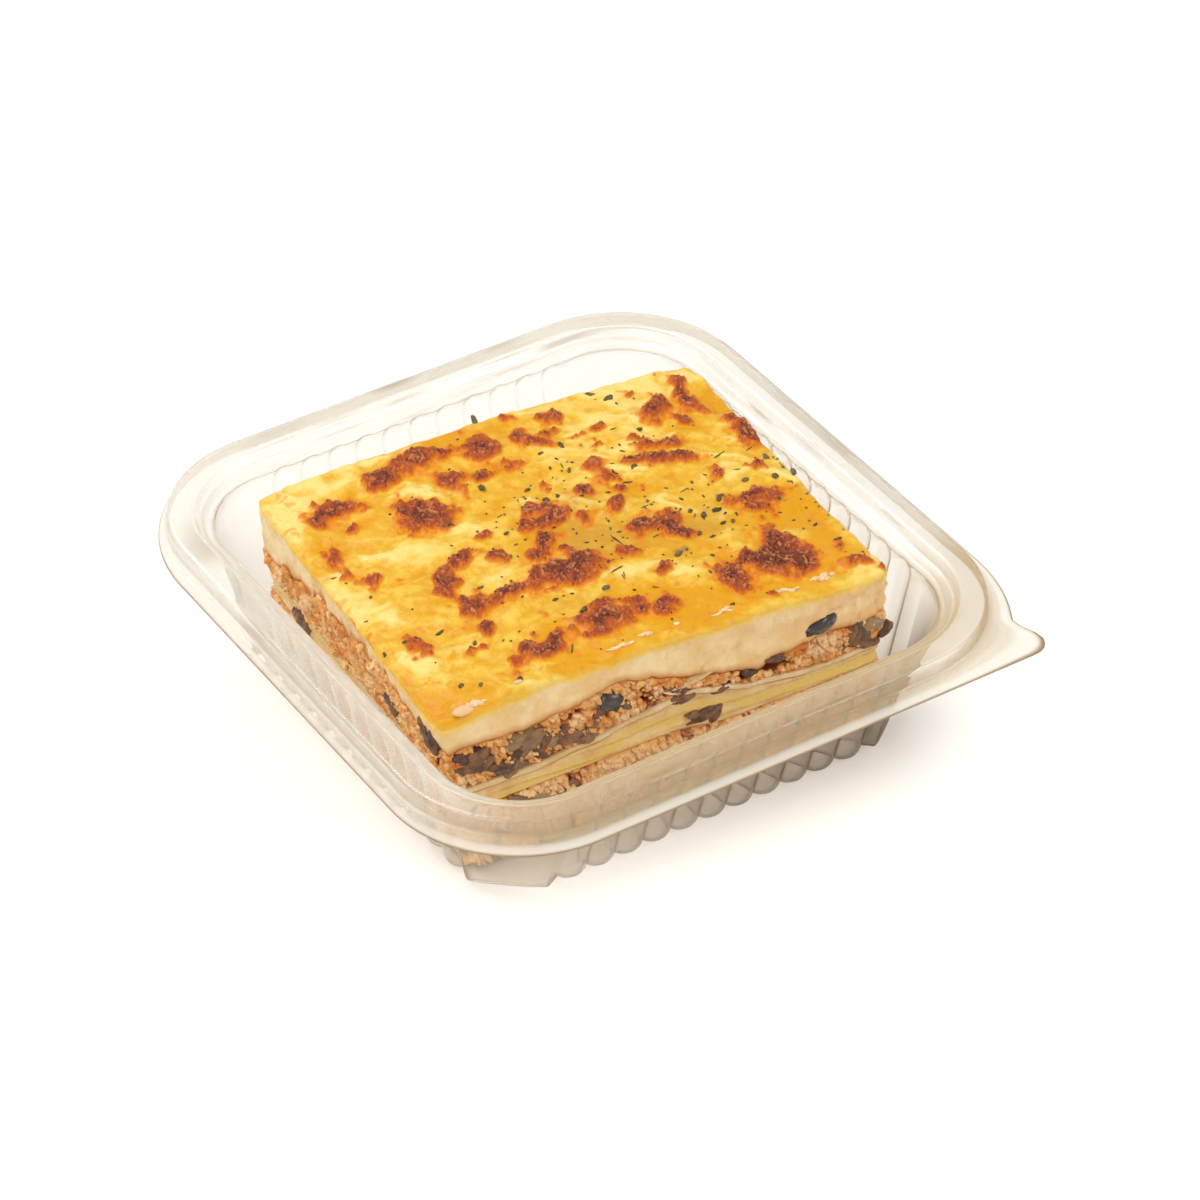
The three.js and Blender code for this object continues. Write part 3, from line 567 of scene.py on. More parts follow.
def moist_grain_group():
    """A shader group for moist food: mixes two colours over large soft patches and small specks,
    and gives a fine height for a bump and a roughness that varies with it."""
    group = bpy.data.node_groups.new("moist grain", "ShaderNodeTree")
    for way, kind, names in (
        ("INPUT", "Color", ("Pale", "Deep")),
        ("INPUT", "Float", ("Patches", "Grain", "Wet", "Dry")),
        ("OUTPUT", "Color", ("Colour",)), ("OUTPUT", "Float", ("Height", "Roughness")),
    ):
        for name in names:
            group.interface.new_socket(name, in_out=way, socket_type="NodeSocket" + kind)
    given = group.nodes.new("NodeGroupInput").outputs
    place = add_node(group, "TexCoord").outputs["Object"]
    large = {"Vector": place, "Scale": given["Patches"], "Detail": 4.0, "Roughness": 0.6}
    small = {"Vector": place, "Scale": given["Grain"], "Detail": 3.0}
    large, small = (add_node(group, "TexNoise", inputs).outputs["Fac"] for inputs in (large, small))
    patches = spread_out(group, large, 0.36, 0.66)
    set_inputs(group, group.nodes.new("NodeGroupOutput"), {
        "Colour": mix_colours(group, patches, given["Pale"], given["Deep"]), "Height": small,
        "Roughness": spread_out(group, small, 0.3, 0.7, given["Wet"], given["Dry"], soft=False),
    })
    return group


MOIST_GRAIN = moist_grain_group()


def moist_grain(tree, shader, pale, deep, patches, grain, wet, dry, bump):
    """Places the moist grain group in a material, joins its roughness and a bump of its height, in
    millimetres, to the shader, and gives back its colour."""
    node = add_node(tree, "Group", {
        "Pale": colour(pale), "Deep": colour(deep), "Patches": patches, "Grain": grain,
        "Wet": wet, "Dry": dry,
    }, node_tree=MOIST_GRAIN).outputs
    bumps = {"Strength": 0.5, "Distance": bump * MM, "Height": node["Height"]}
    bumps = add_node(tree, "Bump", bumps).outputs["Normal"]
    set_inputs(tree, shader, {"Normal": bumps, "Roughness": node["Roughness"]})
    return node["Colour"]


def moist_material(name, pale, deep, *rows, inputs=None, **texture):
    """A material of the moist grain alone, with plain colours mixed over it by marks."""
    material, tree, shader = start_material(name, inputs)
    tone = mix_by_marks(tree, moist_grain(tree, shader, pale, deep, **texture), *rows)
    set_inputs(tree, shader, {"Base Color": tone})
    return material


meat, tree, shader = start_material("meat in tomato")
tone = moist_grain(
    tree, shader, "efb468", "de9644", patches=240.0, grain=1100.0, wet=0.3, dry=0.6, bump=0.8,
)
tone = mix_by_marks(
    tree, tone, ("crumb", "f4c88a", 0.5, 0.8), ("crumb", "d87a2a", 0.45, 0.2),
    ("pale", "f2c68e", 0.2, 0.9), ("shade", "95430f", 0.55, 0.0),
)
# Painted shade: fine noise darkens the colour in the gaps between the mince's grains.
place = add_node(tree, "TexCoord").outputs["Object"]
mince = add_node(tree, "TexNoise", {"Vector": place, "Scale": 850.0, "Detail": 3.0}).outputs["Fac"]
painted_gap_shade = spread_out(tree, mince, 0.52, 0.32, 0.0, 0.6)
set_inputs(tree, shader, {"Base Color": mix_colours(tree, painted_gap_shade, tone, colour("b05a1e"))})

lower_filling = make_layer(
    "lower_meat", lambda s: np.full_like(s, FOOD_FLOOR), lambda s: layer_line(SAUCE_LINE, s),
    rows=44, relief=meat_relief,
)
lower_filling.data.materials.append(meat)
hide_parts("lower_filling")

# Lower sauce. A yellowish layer of set white sauce and soaked pasta between the lower filling and
# the sheet, smooth where the knife went through, with a yellow upper part and a creamy lower one.
LAYER_GAP = 0.3
SHEET_LINE = [
    (0, 19.6), (0.17, 20), (0.3, 21.8), (0.43, 24.2), (0.54, 26), (0.61, 24.5), (0.68, 22.6),
    (0.8, 21.2), (1, 21.8), (1.5, 21), (2, 22), (2.5, 20.5), (3, 21), (3.5, 20),
]


def sauce_relief(distance, z):
    """A smooth cut with slow waves and faint level ridges where pasta lies inside; the mark yellow
    is 1 along a wavering band under the sheet and fades above and below it."""
    waves = 0.45 * soft_noise(distance / 14, z / 5, 0, 61)
    ridges = 0.25 * np.sin(z * 2.1 + 1.5 * soft_noise(distance / 20, 0, 0, 63))
    top = layer_line(SHEET_LINE, np.clip(distance / SIDE_LENGTHS[0], 0, 1))
    band = z - top + 3.4 + 1.6 * soft_noise(distance / 12, z / 3, 0, 65)
    band = band + 0.6 * soft_noise(distance / 3, z / 1.5, 0, 66)
    yellow = smooth_step(1.0 - np.abs(band) / 2.6)
    return waves + ridges + 0.08 * soft_noise(distance, z, 3, 67), {"yellow": yellow}


yellow_sauce = moist_material(
    "yellow sauce", "dfbe82", "cf9f60", ("yellow", "d8b45a", 0.1, 1.2),
    patches=130.0, grain=1200.0, wet=0.22, dry=0.4, bump=0.12,
)

lower_sauce = make_layer(
    "yellow_sauce", lambda s: layer_line(SAUCE_LINE, s) + LAYER_GAP,
    lambda s: layer_line(SHEET_LINE, s), rows=22, relief=sauce_relief,
)
lower_sauce.data.materials.append(yellow_sauce)
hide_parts("lower_sauce")

# Pasta sheet. A soft cooked sheet that runs through the portion, a little proud of the cut because
# the filling on either side sank back. Pale, slightly see-through and wet.
SHEET_THICK = 1.6


def pasta_relief(distance, z):
    """A rounded edge that stands out a little, more in some stretches than in others."""
    push = 0.55 + 0.4 * soft_noise(distance / 11, 0, 0, 71)
    return push + 0.1 * soft_noise(distance / 2, z, 0, 73), {}


pasta = moist_material(
    "cooked pasta", "dfc497", "cba870", inputs={"Coat Weight": 0.3, "Coat Roughness": 0.2},
    patches=110.0, grain=900.0, wet=0.18, dry=0.32, bump=0.08,
)

pasta_sheet = make_layer(
    "pasta_sheet_cooked", lambda s: layer_line(SHEET_LINE, s) + LAYER_GAP,
    lambda s: layer_line(SHEET_LINE, s) + LAYER_GAP + SHEET_THICK, rows=8, relief=pasta_relief,
)
pasta_sheet.data.materials.append(pasta)
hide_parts("pasta_sheet")

# Upper filling. The same minced meat in tomato, between the pasta sheet and the white sauce; on the
# left cut face it is the widest band of the portion.
FILLING_LINE = [
    (0, 31), (0.17, 31.4), (0.3, 33.3), (0.37, 35.4), (0.45, 34), (0.54, 31), (0.62, 28.8),
    (0.7, 27.4), (0.75, 28.8), (0.8, 29.4), (0.87, 30.6), (0.93, 29.6), (1, 30.4), (1.5, 30),
    (2, 29.5), (2.5, 28), (3, 25.5), (3.2, 30), (3.4, 35), (3.7, 35.4),
]


def round_noise(position, grain, seed):
    """Soft noise along a line round the block that meets itself: taken on a circle as long as the
    line, so that its grain is given in millimetres."""
    turn, radius = position * math.pi / 2, SIDE_LENGTHS.sum() / grain / (2 * math.pi)
    return soft_noise(radius * np.cos(turn), radius * np.sin(turn), 0, seed)


def filling_edge(position):
    """The ragged line between filling and white sauce; on the left cut face, where the portion was
    pulled apart, drops of sauce hang further down."""
    torn = smooth_step((position - 3.0) / 0.1) * smooth_step((3.97 - position) / 0.1)
    ragged = 0.6 * round_noise(position, 4.0, 75) + 0.35 * round_noise(position, 1.6, 76)
    hanging = torn * (2.2 * round_noise(position, 2.4, 77) - 1.2)
    return layer_line(FILLING_LINE, position) + ragged + hanging


upper_filling = make_layer(
    "upper_meat", lambda s: layer_line(SHEET_LINE, s) + 2 * LAYER_GAP + SHEET_THICK, filling_edge,
    rows=40, relief=meat_relief,
)
upper_filling.data.materials.append(meat)
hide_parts("upper_filling")

# Loose crumbs of the filling. Where the knife tore the minced meat, single crumbs and shreds stand
# out of the cut faces, more on the two sides that were pulled apart.
CRUMB_BANDS = [
    # number, side, from, to (distance along it), lowest and highest share of the filling, size
    (120, 0, 1.0, 42.0, 0.0, 0.8, 0.6), (260, 0, 42.0, 115.0, 0.0, 0.95, 0.62),
    (620, 3, 2.0, 94.0, -0.1, 0.97, 0.7), (110, 1, 0.0, 97.0, 0.0, 0.95, 0.8),
    (100, 2, 0.0, 116.0, 0.0, 0.95, 0.8), (90, 1, 0.0, 14.0, 0.1, 1.1, 0.85),
    (80, 0, 100.0, 116.0, 0.1, 1.05, 0.8),
]
LOWER_BANDS = [
    (150, 0, 0.0, 116.0), (260, 3, 0.0, 95.0), (60, 1, 0.0, 97.0), (60, 2, 0.0, 116.0),
]
PIECES = {
    # side, distance along it, height, length, height and depth of the piece, tilt in degrees
    "mushroom_1": (0, 6.5, 28.2, 8.9, 5.4, 6.2, 5),
    "mushroom_2": (0, 12.5, 23.7, 7.4, 4.4, 5.4, -15),
    "mushroom_3": (0, 20.0, 28.2, 10.6, 6.4, 6.4, 20),
    "mushroom_4": (0, 31.0, 25.6, 9.9, 4.6, 6.4, -15),
    "mushroom_5": (0, 58.0, 29.6, 6.2, 2.6, 4.2, 5),
    "mushroom_6": (0, 105.5, 27.0, 6.8, 7.6, 6.6, 0),
    "mushroom_7": (0, 64.0, 19.8, 9.2, 3.6, 5.2, 18),
    "mushroom_8": (0, 20.0, 13.2, 15.4, 3.8, 5.2, -6),
    "mushroom_9": (3, 89.5, 32.0, 6.2, 6.8, 5.4, 30),
    "mushroom_10": (3, 70.0, 28.5, 6.2, 5.2, 5.4, -20),
    "mushroom_11": (3, 20.0, 18.0, 7.4, 4.8, 5.4, 20),
    "olive_1": (0, 41.5, 31.4, 6.8, 5.6, 6.2, -20),
    "olive_2": (0, 96.0, 33.6, 8.8, 4.2, 6.2, 22),
}
PIECE_ELLIPSES = [
    (SIDE_STARTS[side] + at, z, length, tall, tilt)
    for side, at, z, length, tall, _, tilt in PIECES.values()
]


BALL_ROWS, BALL_COLUMNS = 6, 9


def unit_ball(rows, columns, margin):
    """A ball of radius 1 as rings from pole to pole, the first and last an angle of margin from
    them: sin up cos round, sin up sin round and cos up."""
    round_, up = np.meshgrid(
        np.linspace(0, 2 * math.pi, columns, endpoint=False),
        np.linspace(margin, math.pi - margin, rows))
    return np.stack([np.sin(up) * np.cos(round_), np.sin(up) * np.sin(round_), np.cos(up)], -1)


def small_balls(count, rng, lumpiness):
    """For each of a number of crumbs, a ball of a few rings and two poles, with the face tables for
    all of them together. Its radius is 1 plus lumpiness times three sine waves that run across the
    ball in random directions."""
    ball = unit_ball(BALL_ROWS, BALL_COLUMNS, margin=0.42)
    ball = np.concatenate([ball.reshape(-1, 3), [[0, 0, 1.0], [0, 0, -1.0]]])
    waves = np.einsum("nkd,pd->nkp", 3.2 * rng.normal(size=(count, 3, 3)), ball)
    waves = np.sin(waves + 6.3 * rng.random((count, 3, 1))).sum(1)
    shapes = ball * (1.0 + lumpiness * waves[..., None])
    quads, triangles = closed_faces(BALL_ROWS, BALL_COLUMNS)
    start = np.arange(count)[:, None, None] * len(ball)
    return shapes, (quads + start).reshape(-1, 4), (triangles + start).reshape(-1, 3)


def turned(shapes, turn, tip):
    """Each shape turned about its third axis and then tipped about its first, in radians."""
    x = shapes[..., 0] * np.cos(turn)[:, None] - shapes[..., 1] * np.sin(turn)[:, None]
    y = shapes[..., 0] * np.sin(turn)[:, None] + shapes[..., 1] * np.cos(turn)[:, None]
    z = shapes[..., 2]
    return np.stack([x, y * np.cos(tip)[:, None] - z * np.sin(tip)[:, None],
                     y * np.sin(tip)[:, None] + z * np.cos(tip)[:, None]], -1)


def on_side(side, at, z):
    """A place on a cut face, with the directions along the face and out of it."""
    share = at / SIDE_LENGTHS[side]
    here = block_point(*around_block(side + np.clip(share, 0.0, 0.9999)), z)
    ahead = block_point(*around_block(side + np.clip(share + 0.001, 0.0, 0.99999)), z)
    behind = block_point(*around_block(side + np.clip(share - 0.001, 0.0, 0.9999)), z)
    along = ahead - behind
    along /= np.linalg.norm(along, axis=-1, keepdims=True)
    outward = np.stack([along[:, 1], -along[:, 0], np.zeros(len(along))], -1)
    return here, along, outward


def strew_crumbs(name, bands, low, high, paleness, seed):
    """Crumbs at random places of the bands: each an uneven ball, longer than wide, leaning any way,
    half sunk in the face; paleness is the share of pale ones. None lies on a mushroom or olive."""
    rng = np.random.default_rng(seed)
    rows = []
    for count, side, start, end, lowest, highest, scale in bands:
        at = start + (end - start) * rng.random(count)
        position = side + at / SIDE_LENGTHS[side]
        share = lowest + (highest - lowest) * rng.random(count)
        z = low(position) + (high(position) - low(position)) * share
        distance = SIDE_STARTS[side] + at
        free = spots(distance, z, PIECE_ELLIPSES) < 0.05
        free &= spots(distance, z, MEAT_HOLLOWS) < 0.25
        at, z, distance = at[free], z[free], distance[free]
        size = scale * (0.5 + 1.1 * rng.random(len(at)) ** 2.4)
        stretch = np.full(len(at), 1.9 if side == 3 else 1.5)
        rows.append((*on_side(side, at, z), size, distance, z, stretch))
    here, along, outward, size, distance, level, stretch = map(np.concatenate, zip(*rows))
    count = len(here)
    shapes, quads, triangles = small_balls(count, rng, 0.13)
    shapes = shapes * np.stack([size * stretch, size * 0.95, size * 0.85], -1)[:, None, :]
    shapes = turned(shapes, rng.random(count) * math.pi, 0.5 * rng.normal(size=count))
    upward = np.array([0.0, 0.0, 1.0])
    depth = 0.1 + 0.35 * rng.random(count) * size
    points = (here + outward * depth[:, None])[:, None, :] + shapes[..., :1] * along[:, None, :]
    points = points + shapes[..., 1:2] * upward + shapes[..., 2:] * outward[:, None, :]
    points[..., 2] = np.maximum(points[..., 2], FOOD_FLOOR)
    per_point = shapes.shape[1]
    outside = shapes[..., 2].ravel() / np.repeat(size, per_point)
    marks = {
        "crumb": np.repeat(0.25 + 0.5 * rng.random(count), per_point),
        # Painted shade: each crumb is darker on the side that faces into the cut.
        "shade": np.clip(0.45 + 0.5 * outside, 0.1, 1.0),
        "pale": np.repeat(np.maximum(smooth_step(2.0 * spots(distance, level, PALE_CHUNKS)),
                                     0.8 * (rng.random(count) < paleness)), per_point),
    }
    return make_piece(name, points.reshape(-1, 3), quads, triangles, marks)


upper_crumbs = strew_crumbs(
    "upper_meat_crumbs", CRUMB_BANDS, lambda s: layer_line(SHEET_LINE, s) + 2.6, filling_edge,
    paleness=0.12, seed=11,
)
lower_crumbs = strew_crumbs(
    "lower_meat_crumbs", [(*band, 0.1, 0.95, 0.8) for band in LOWER_BANDS],
    lambda s: np.full_like(s, 1.5), lambda s: layer_line(SAUCE_LINE, s), paleness=0.7, seed=12,
)
for piece in (upper_crumbs, lower_crumbs):
    piece.data.materials.append(meat)

# Mushrooms and olives. Cooked slices and halves that the knife left showing in the two cut faces:
# grey-brown and shiny, folded like wet leather; the olives near black. Each sits in the filling.
LUMP_ROWS, LUMP_COLUMNS = 34, 64


def folded_lump(size, seed, folds):
    """A ball in its own axes, of rings from pole to pole, stretched to its size; its radius swells
    with soft noise and is drawn in along wavy folds. The half that faces out of the cut is pressed
    flatter, as the knife left it."""
    ball = unit_ball(LUMP_ROWS, LUMP_COLUMNS, margin=0.04)
    x, y, z = np.moveaxis(ball, -1, 0)
    swell = 1.0 + 0.3 * soft_noise(x * 1.6, y * 1.6, z * 1.6, seed)
    swell = swell + 0.07 * soft_noise(x * 3.4, y * 3.4, z * 3.4, seed + 1)
    wave = np.sin(4.5 * y + 2.5 * soft_noise(x * 1.5, y * 1.5, z * 1.5, seed + 2))
    swell = swell - folds * smooth_step(wave * 2 - 0.6)
    swell = 1.0 + (swell - 1.0) * min(1.0, 0.4 + 8 * folds)
    rings = ball * swell[..., None] * np.array(size) / 2
    rings[..., 2] = np.where(rings[..., 2] > 0, 0.66, 1.0) * rings[..., 2] - 0.06 * size[2]
    poles = np.stack([rings[0].mean(0), rings[-1].mean(0)])
    return np.concatenate([rings.reshape(-1, 3), poles])


def seat_in_side(points, side, at, z, tilt):
    """Moves points from a piece's own axes, which run along the cut face, up it and out of it, to
    its place in that face, turned by its tilt."""
    next_corner = (side + 1) % 4
    height = (z - FOOD_FLOOR) / FOOD_HEIGHT
    start, end = (
        FOOT_CORNERS[k] + (TOP_CORNERS[k] - FOOT_CORNERS[k]) * height for k in (side, next_corner)
    )
    along = np.append((end - start) / np.linalg.norm(end - start), 0.0)
    upwards = np.array([0.0, 0.0, 1.0])
    outwards = np.cross(along, upwards)
    axes = np.stack([*turned_by(tilt, along, upwards), outwards])
    return points @ axes + np.append(start, z) + along * at


MUSHROOM_BITS = [
    # side, distance along it, height, length, height and depth, tilt
    (0, 9.5, 25.2, 6, 3.4, 4, -20), (0, 15.5, 26.2, 6, 4, 5, 30), (0, 25.5, 26.8, 7, 4, 5, -10),
    (0, 23, 24.2, 6, 2.6, 4, 5), (0, 17.2, 24, 5, 3, 4, -30), (0, 28.6, 28.6, 4.6, 2.6, 4, 30),
    (0, 36, 27.6, 5, 2.8, 4, 20), (0, 38, 30.4, 3.6, 3, 4, 50), (0, 45.4, 29.4, 3.4, 3, 4, 0),
    (0, 59, 26.4, 7, 3, 4, 10), (0, 69, 25.2, 5, 2, 3, 10), (0, 84, 28.3, 6, 2.4, 3, -8),
    (0, 77, 26.6, 5, 2, 3, -20), (0, 109.5, 29, 6, 4.4, 5, -20), (0, 112.5, 26.4, 5, 4, 5, 20),
    (0, 108, 24, 6, 3, 4, 0), (0, 101, 25.6, 3.4, 2.2, 3, 0), (0, 3, 26.4, 3.6, 3.2, 4, 40),
    (3, 23, 21, 3.6, 2.6, 4, 0), (3, 72.6, 25.6, 3.6, 3, 4, 10), (3, 86.6, 34.6, 3.4, 3.4, 4, -10),
    (0, 27, 13.6, 6, 2.6, 4, 8), (1, 6, 25, 7, 4, 4, 0), (1, 30, 26, 8, 3.4, 4, 10),
    (1, 62, 24.5, 7, 3.4, 4, -10), (2, 25, 24, 8, 4, 4, 10), (2, 70, 25, 7, 3.4, 4, -8),
    (2, 95, 24, 6, 3, 4, 0),
]

mushroom = moist_material(
    "cooked mushroom", "85552f", "452812",
    ("tone", "a4865c", 0.7, 1.1), ("tone", "4c2a16", 0.34, 0.0),
    inputs={"Coat Weight": 0.25, "Coat Roughness": 0.14},
    patches=330.0, grain=1200.0, wet=0.4, dry=0.6, bump=0.35,
)
olive = moist_material(
    "black olive", "443a34", "1c1412", inputs={"Coat Weight": 0.35, "Coat Roughness": 0.08},
    patches=200.0, grain=1400.0, wet=0.15, dry=0.3, bump=0.04,
)


def seated_lumps(places, seed, folds):
    """Folded lumps seated in the cut faces, as the points of one mesh, its faces, and one random
    tone for each lump."""
    rng = np.random.default_rng(seed)
    points, quads, triangles, tone = [], [], [], []
    quad, triangle = closed_faces(LUMP_ROWS, LUMP_COLUMNS)
    for k, (side, at, z, length, tall, deep, tilt) in enumerate(places):
        lump = folded_lump((length, tall, deep), seed + 5 * k, folds)
        lump = seat_in_side(lump, side, at, z, tilt)
        quads.append(quad + k * len(lump)), triangles.append(triangle + k * len(lump))
        points.append(lump), tone.append(np.full(len(lump), rng.random()))
    return map(np.concatenate, (points, quads, triangles, tone))


LOBES = [
    # two smaller lobes beside each mushroom: place along and up it, length, height, depth, turn
    (0.28, -0.22, 0.62, 0.66, 0.98, 35), (-0.3, 0.18, 0.55, 0.7, 0.94, -30),
]

for number, (node, place) in enumerate(PIECES.items()):
    side, at, z, length, tall, deep, tilt = place
    lobes = [place]
    is_olive = node.startswith("olive")
    if not is_olive:
        lobes += [
            (side, at + p * length, z + q * tall, a * length, b * tall, c * deep, tilt + turn)
            for p, q, a, b, c, turn in LOBES
        ]
    *shape, tone = seated_lumps(lobes, seed=200 + 31 * number, folds=0.02 if is_olive else 0.09)
    piece = make_piece(node + "_cooked", *shape, {"tone": tone})
    piece.data.materials.append(olive if is_olive else mushroom)
    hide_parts(node)

*shape, tone = seated_lumps(MUSHROOM_BITS, seed=900, folds=0.08)
mushroom_bits = make_piece("mushroom_bits", *shape, {"tone": tone})
mushroom_bits.data.materials.append(mushroom)

# A second, short strip of pasta. It is squeezed out between the filling and the white sauce in the
# middle of the long cut face, thin and pale.
STRIP = [(0, 61, 30.2, 12, 1.5, 4.6, 6), (0, 56.5, 29.0, 5, 1.2, 4.4, -20)]
*shape, _ = seated_lumps(STRIP, seed=700, folds=0.02)
pasta_strip = make_piece("pasta_strip", *shape)
pasta_strip.data.materials.append(pasta)

# White sauce and its baked top. A thick layer of set bechamel; its cut sides are smooth and cream,
# and in the oven its top swelled, folded, turned yellow and browned in rough blisters.
BLOCK_X, BLOCK_Y, BLOCK_TURN = 1.5, 3.4, -5.4
TOP_COLUMNS, TOP_ROWS = 312, 256
SIDE_RINGS = 14
SWELL, LEVEL, FRONT_CORNER, FRONT_RIGHT = 2.4, -0.9, -1.8, 1.7
BLISTER_HEIGHT = 1.5
EDGE_DROP = 0.9
FOLD_TURN = -30.0
STAINS = [
    # as in the next lists: along and across from the block's middle, length, width, turn in
    # degrees, and strength where it isn't 1
    (18, -20, 4, 4, 0), (37, -5, 5, 3, 0), (42, -13, 7, 4, 0, 0.8), (6, 6, 4, 2.5, 0, 0.7),
    (0, 12, 5, 3, 0, 0.6), (-5, -4, 5, 3, 20, 0.5), (8, -12, 4, 3, 0, 0.6), (-11, 24, 3, 5, 0, 0.4),
]
BLISTERS = [
    (-45, 33, 14, 7, -15, 1.0), (-49, 31, 7, 4, 0, 0.7), (-31, 38, 9, 7, 0, 1.2),
    (-20, 40, 11, 9, -10, 1.1), (-12.5, 40.5, 6, 5, -10, 1.0), (-5, 38, 8, 11, 0, 1.15),
    (6, 37, 6, 7, 0, 0.85), (16, 41, 8, 4, 0, 0.8), (7, 46, 4, 3, 0, 0.8), (13, 36.5, 4, 3, 0, 0.9),
    (9, 33, 5, 4, 0, 1.0), (24, 32, 5, 5, 0, 0.8), (40, 33, 9, 8, 20, 1.1),
    (50, 36, 5, 17, 5, 1.05), (44, 26, 4, 5, 0, 0.8), (29, 25, 8, 2, -10, 0.7),
    (20, 26, 4, 2, 0, 0.8), (-15, 29.5, 8, 6, 0, 0.95), (-9, 26.5, 5, 4, 0, 0.8),
    (-16, 24, 4, 5, 0, 0.6), (-1, 27, 10, 3.5, -10, 0.75), (-31, 21, 9, 12, 10, 1.0),
    (-25, 19, 9, 7, 0, 1.0), (-44, 24.5, 5, 3, -15, 0.75), (-53, 18, 4.5, 9, -20, 0.85),
    (-54, 11, 4.5, 6, 0, 0.8), (-49, 6, 7, 4.5, 0, 0.8), (-19, 7, 4.5, 4, 0, 0.85),
    (-43, 3.5, 3, 2, 0, 0.6), (33, 13.5, 15, 5, -20, 1.15), (34, 20.5, 15, 4, -8, 0.9),
    (26, 17, 6, 3, 0, 0.65), (17, 20, 5, 6, 0, 0.65), (17, 13, 5, 6, 0, 0.6),
    (2, 17, 4, 3, -20, 0.7), (55, 16, 7, 10, 0, 1.1), (53, 22, 4, 4, 0, 0.7),
    (10, 10, 6, 3.5, 0, 1.15), (-9, 4, 5, 5, 0, 1.0), (-3, 9, 8, 4.5, 10, 1.1),
    (-2, 4.5, 12, 4.5, 25, 1.1), (5, 0.5, 5.5, 4.5, 0, 1.15), (13, 3.5, 7, 4.5, 15, 0.9),
    (17, 8, 3, 3, 0, 0.8), (20, 6, 3, 2.5, 0, 0.6), (-34, -5, 4.5, 10, -15, 1.15),
    (-28, 1, 9, 4.5, 5, 1.1), (-20.5, -2.5, 4.5, 5.5, 20, 1.0), (41, 3.5, 4, 4, 0, 0.8),
    (51, 2.5, 5, 5, 0, 1.1), (-11, -5, 8, 6, 0, 1.0), (-6, -2.5, 6, 4, 0, 1.3),
    (-4, -7.5, 2.2, 2.6, 0, 1.1), (15, -6, 7, 6, 0, 0.85), (21, -10, 8, 9, 0, 1.25),
    (23, -14, 6, 4, 0, 1.1), (45, -8, 14, 5, -10, 1.05), (43, -13, 8, 4, 0, 0.8),
    (-35, -15, 5, 7, 0, 1.2), (-31, -17, 6, 4, 0, 0.9), (-23, -15, 10, 6, 0, 1.0),
    (-8, -16, 17, 9, -5, 1.15), (-3, -12, 8, 6, 0, 1.1), (-14, -12, 6, 4, 0, 0.8),
    (-50, -21, 4.5, 9, 0, 0.95), (-33, -24, 5, 6, 0, 1.2), (8, -14, 8, 6, -30, 0.7),
    (13, -25, 4, 4.5, 0, 0.9), (41, -26, 7, 12, 0, 1.35), (38, -34, 14, 10, 0, 1.5),
    (34, -30, 9, 6, 0, 1.1), (25, -34, 7, 13, 0, 1.2), (-38, -30, 6, 3, 0, 0.65),
    (-27, -37, 14, 6, 5, 1.15), (-22, -34, 7, 5, 0, 0.9), (-8, -34, 14, 8, 0, 1.15),
    (-5, -29.5, 5, 4, 0, 0.6), (2, -33, 5, 3, 0, 0.9), (7, -37, 8, 6, 20, 1.05),
    (52, -42, 9, 4.5, 0, 0.95), (53, -33, 3, 5, 0, 0.8), (58, -46, 3, 3, 0, 0.8),
    (29, -44, 3, 2, 0, 0.6), (-58.5, -5, 1.6, 5, 0, 0.8), (-57, -12, 2, 5, 0, 0.75),
    (-20, -26, 4, 2, -20, 0.5), (18, 31, 6, 2.5, -20, 0.55), (36, 42, 4, 3, 0, 0.5),
]
GOLDEN_PLACES = [
    (-50, -42, 26, 14, 3, 1.2), (-20, -45, 40, 5, 0), (20, -43, 30, 6, 0), (52, -20, 9, 34, 0),
    (46, 24, 14, 16, 0, 0.8), (-53, 22, 9, 20, -10, 0.8), (-6, 44, 20, 9, 0, 0.9),
    (32, 8, 26, 10, 0, 0.6), (-57, -30, 5, 20, 0, 0.8), (48, -38, 14, 8, 0),
    (-42, -10, 12, 8, 0, 0.6), (18, -36, 16, 10, 0, 0.8), (6, 22, 14, 6, 0, 0.5),
    (56, 30, 5, 30, 0, 0.7), (-36, 26, 10, 8, 0, 0.5),
]
DULL_PLACES = [
    (2, -4, 34, 26, -20), (28, -12, 30, 18, 0, 0.9), (-12, -26, 30, 12, 0, 0.6),
    (10, 10, 26, 10, 0, 0.5),
]
PALE_PLACES = [
    (-52, 40, 20, 14, 0), (-25, 47, 40, 5, 0), (30, 48, 34, 10, 0), (22, 36, 9, 7, 0, 0.8),
    (-30, 31, 20, 4, -30, 0.6), (-20, 12, 20, 4, -30, 0.7), (-40, 12, 14, 5, -20, 0.7),
    (-12, -22, 10, 4, -30, 0.6), (36, 26, 9, 5, 0, 0.8), (28, 0, 12, 4, -20, 0.6),
    (-30, -30, 8, 4, 0, 0.5), (15, -28, 8, 3, 0, 0.6), (-58, 12, 4, 50, 0, 0.6),
    (47, -23, 6, 6, 0, 0.5), (40, 44, 10, 8, 0, 0.7),
]


def from_middle(x, y):
    """A place on the top as distances along and across from the block's middle."""
    return turned_by(BLOCK_TURN, x - BLOCK_X, y - BLOCK_Y)


def ellipse_sum(along, across, places, spread=1.0):
    """Soft ellipses added up, each made wider by the spread: each is its last number, or 1, times e
    to the minus 1.1 r^2, r being 1 on its edge."""
    total = np.zeros(np.shape(along))
    for middle_along, middle_across, length, width, turn, *strength in places:
        p, q = turned_by(turn, along - middle_along, across - middle_across)
        p, q = p / (spread * length / 2), q / (spread * width / 2)
        total = total + (strength[0] if strength else 1.0) * np.exp(-1.1 * (p * p + q * q))
    return total


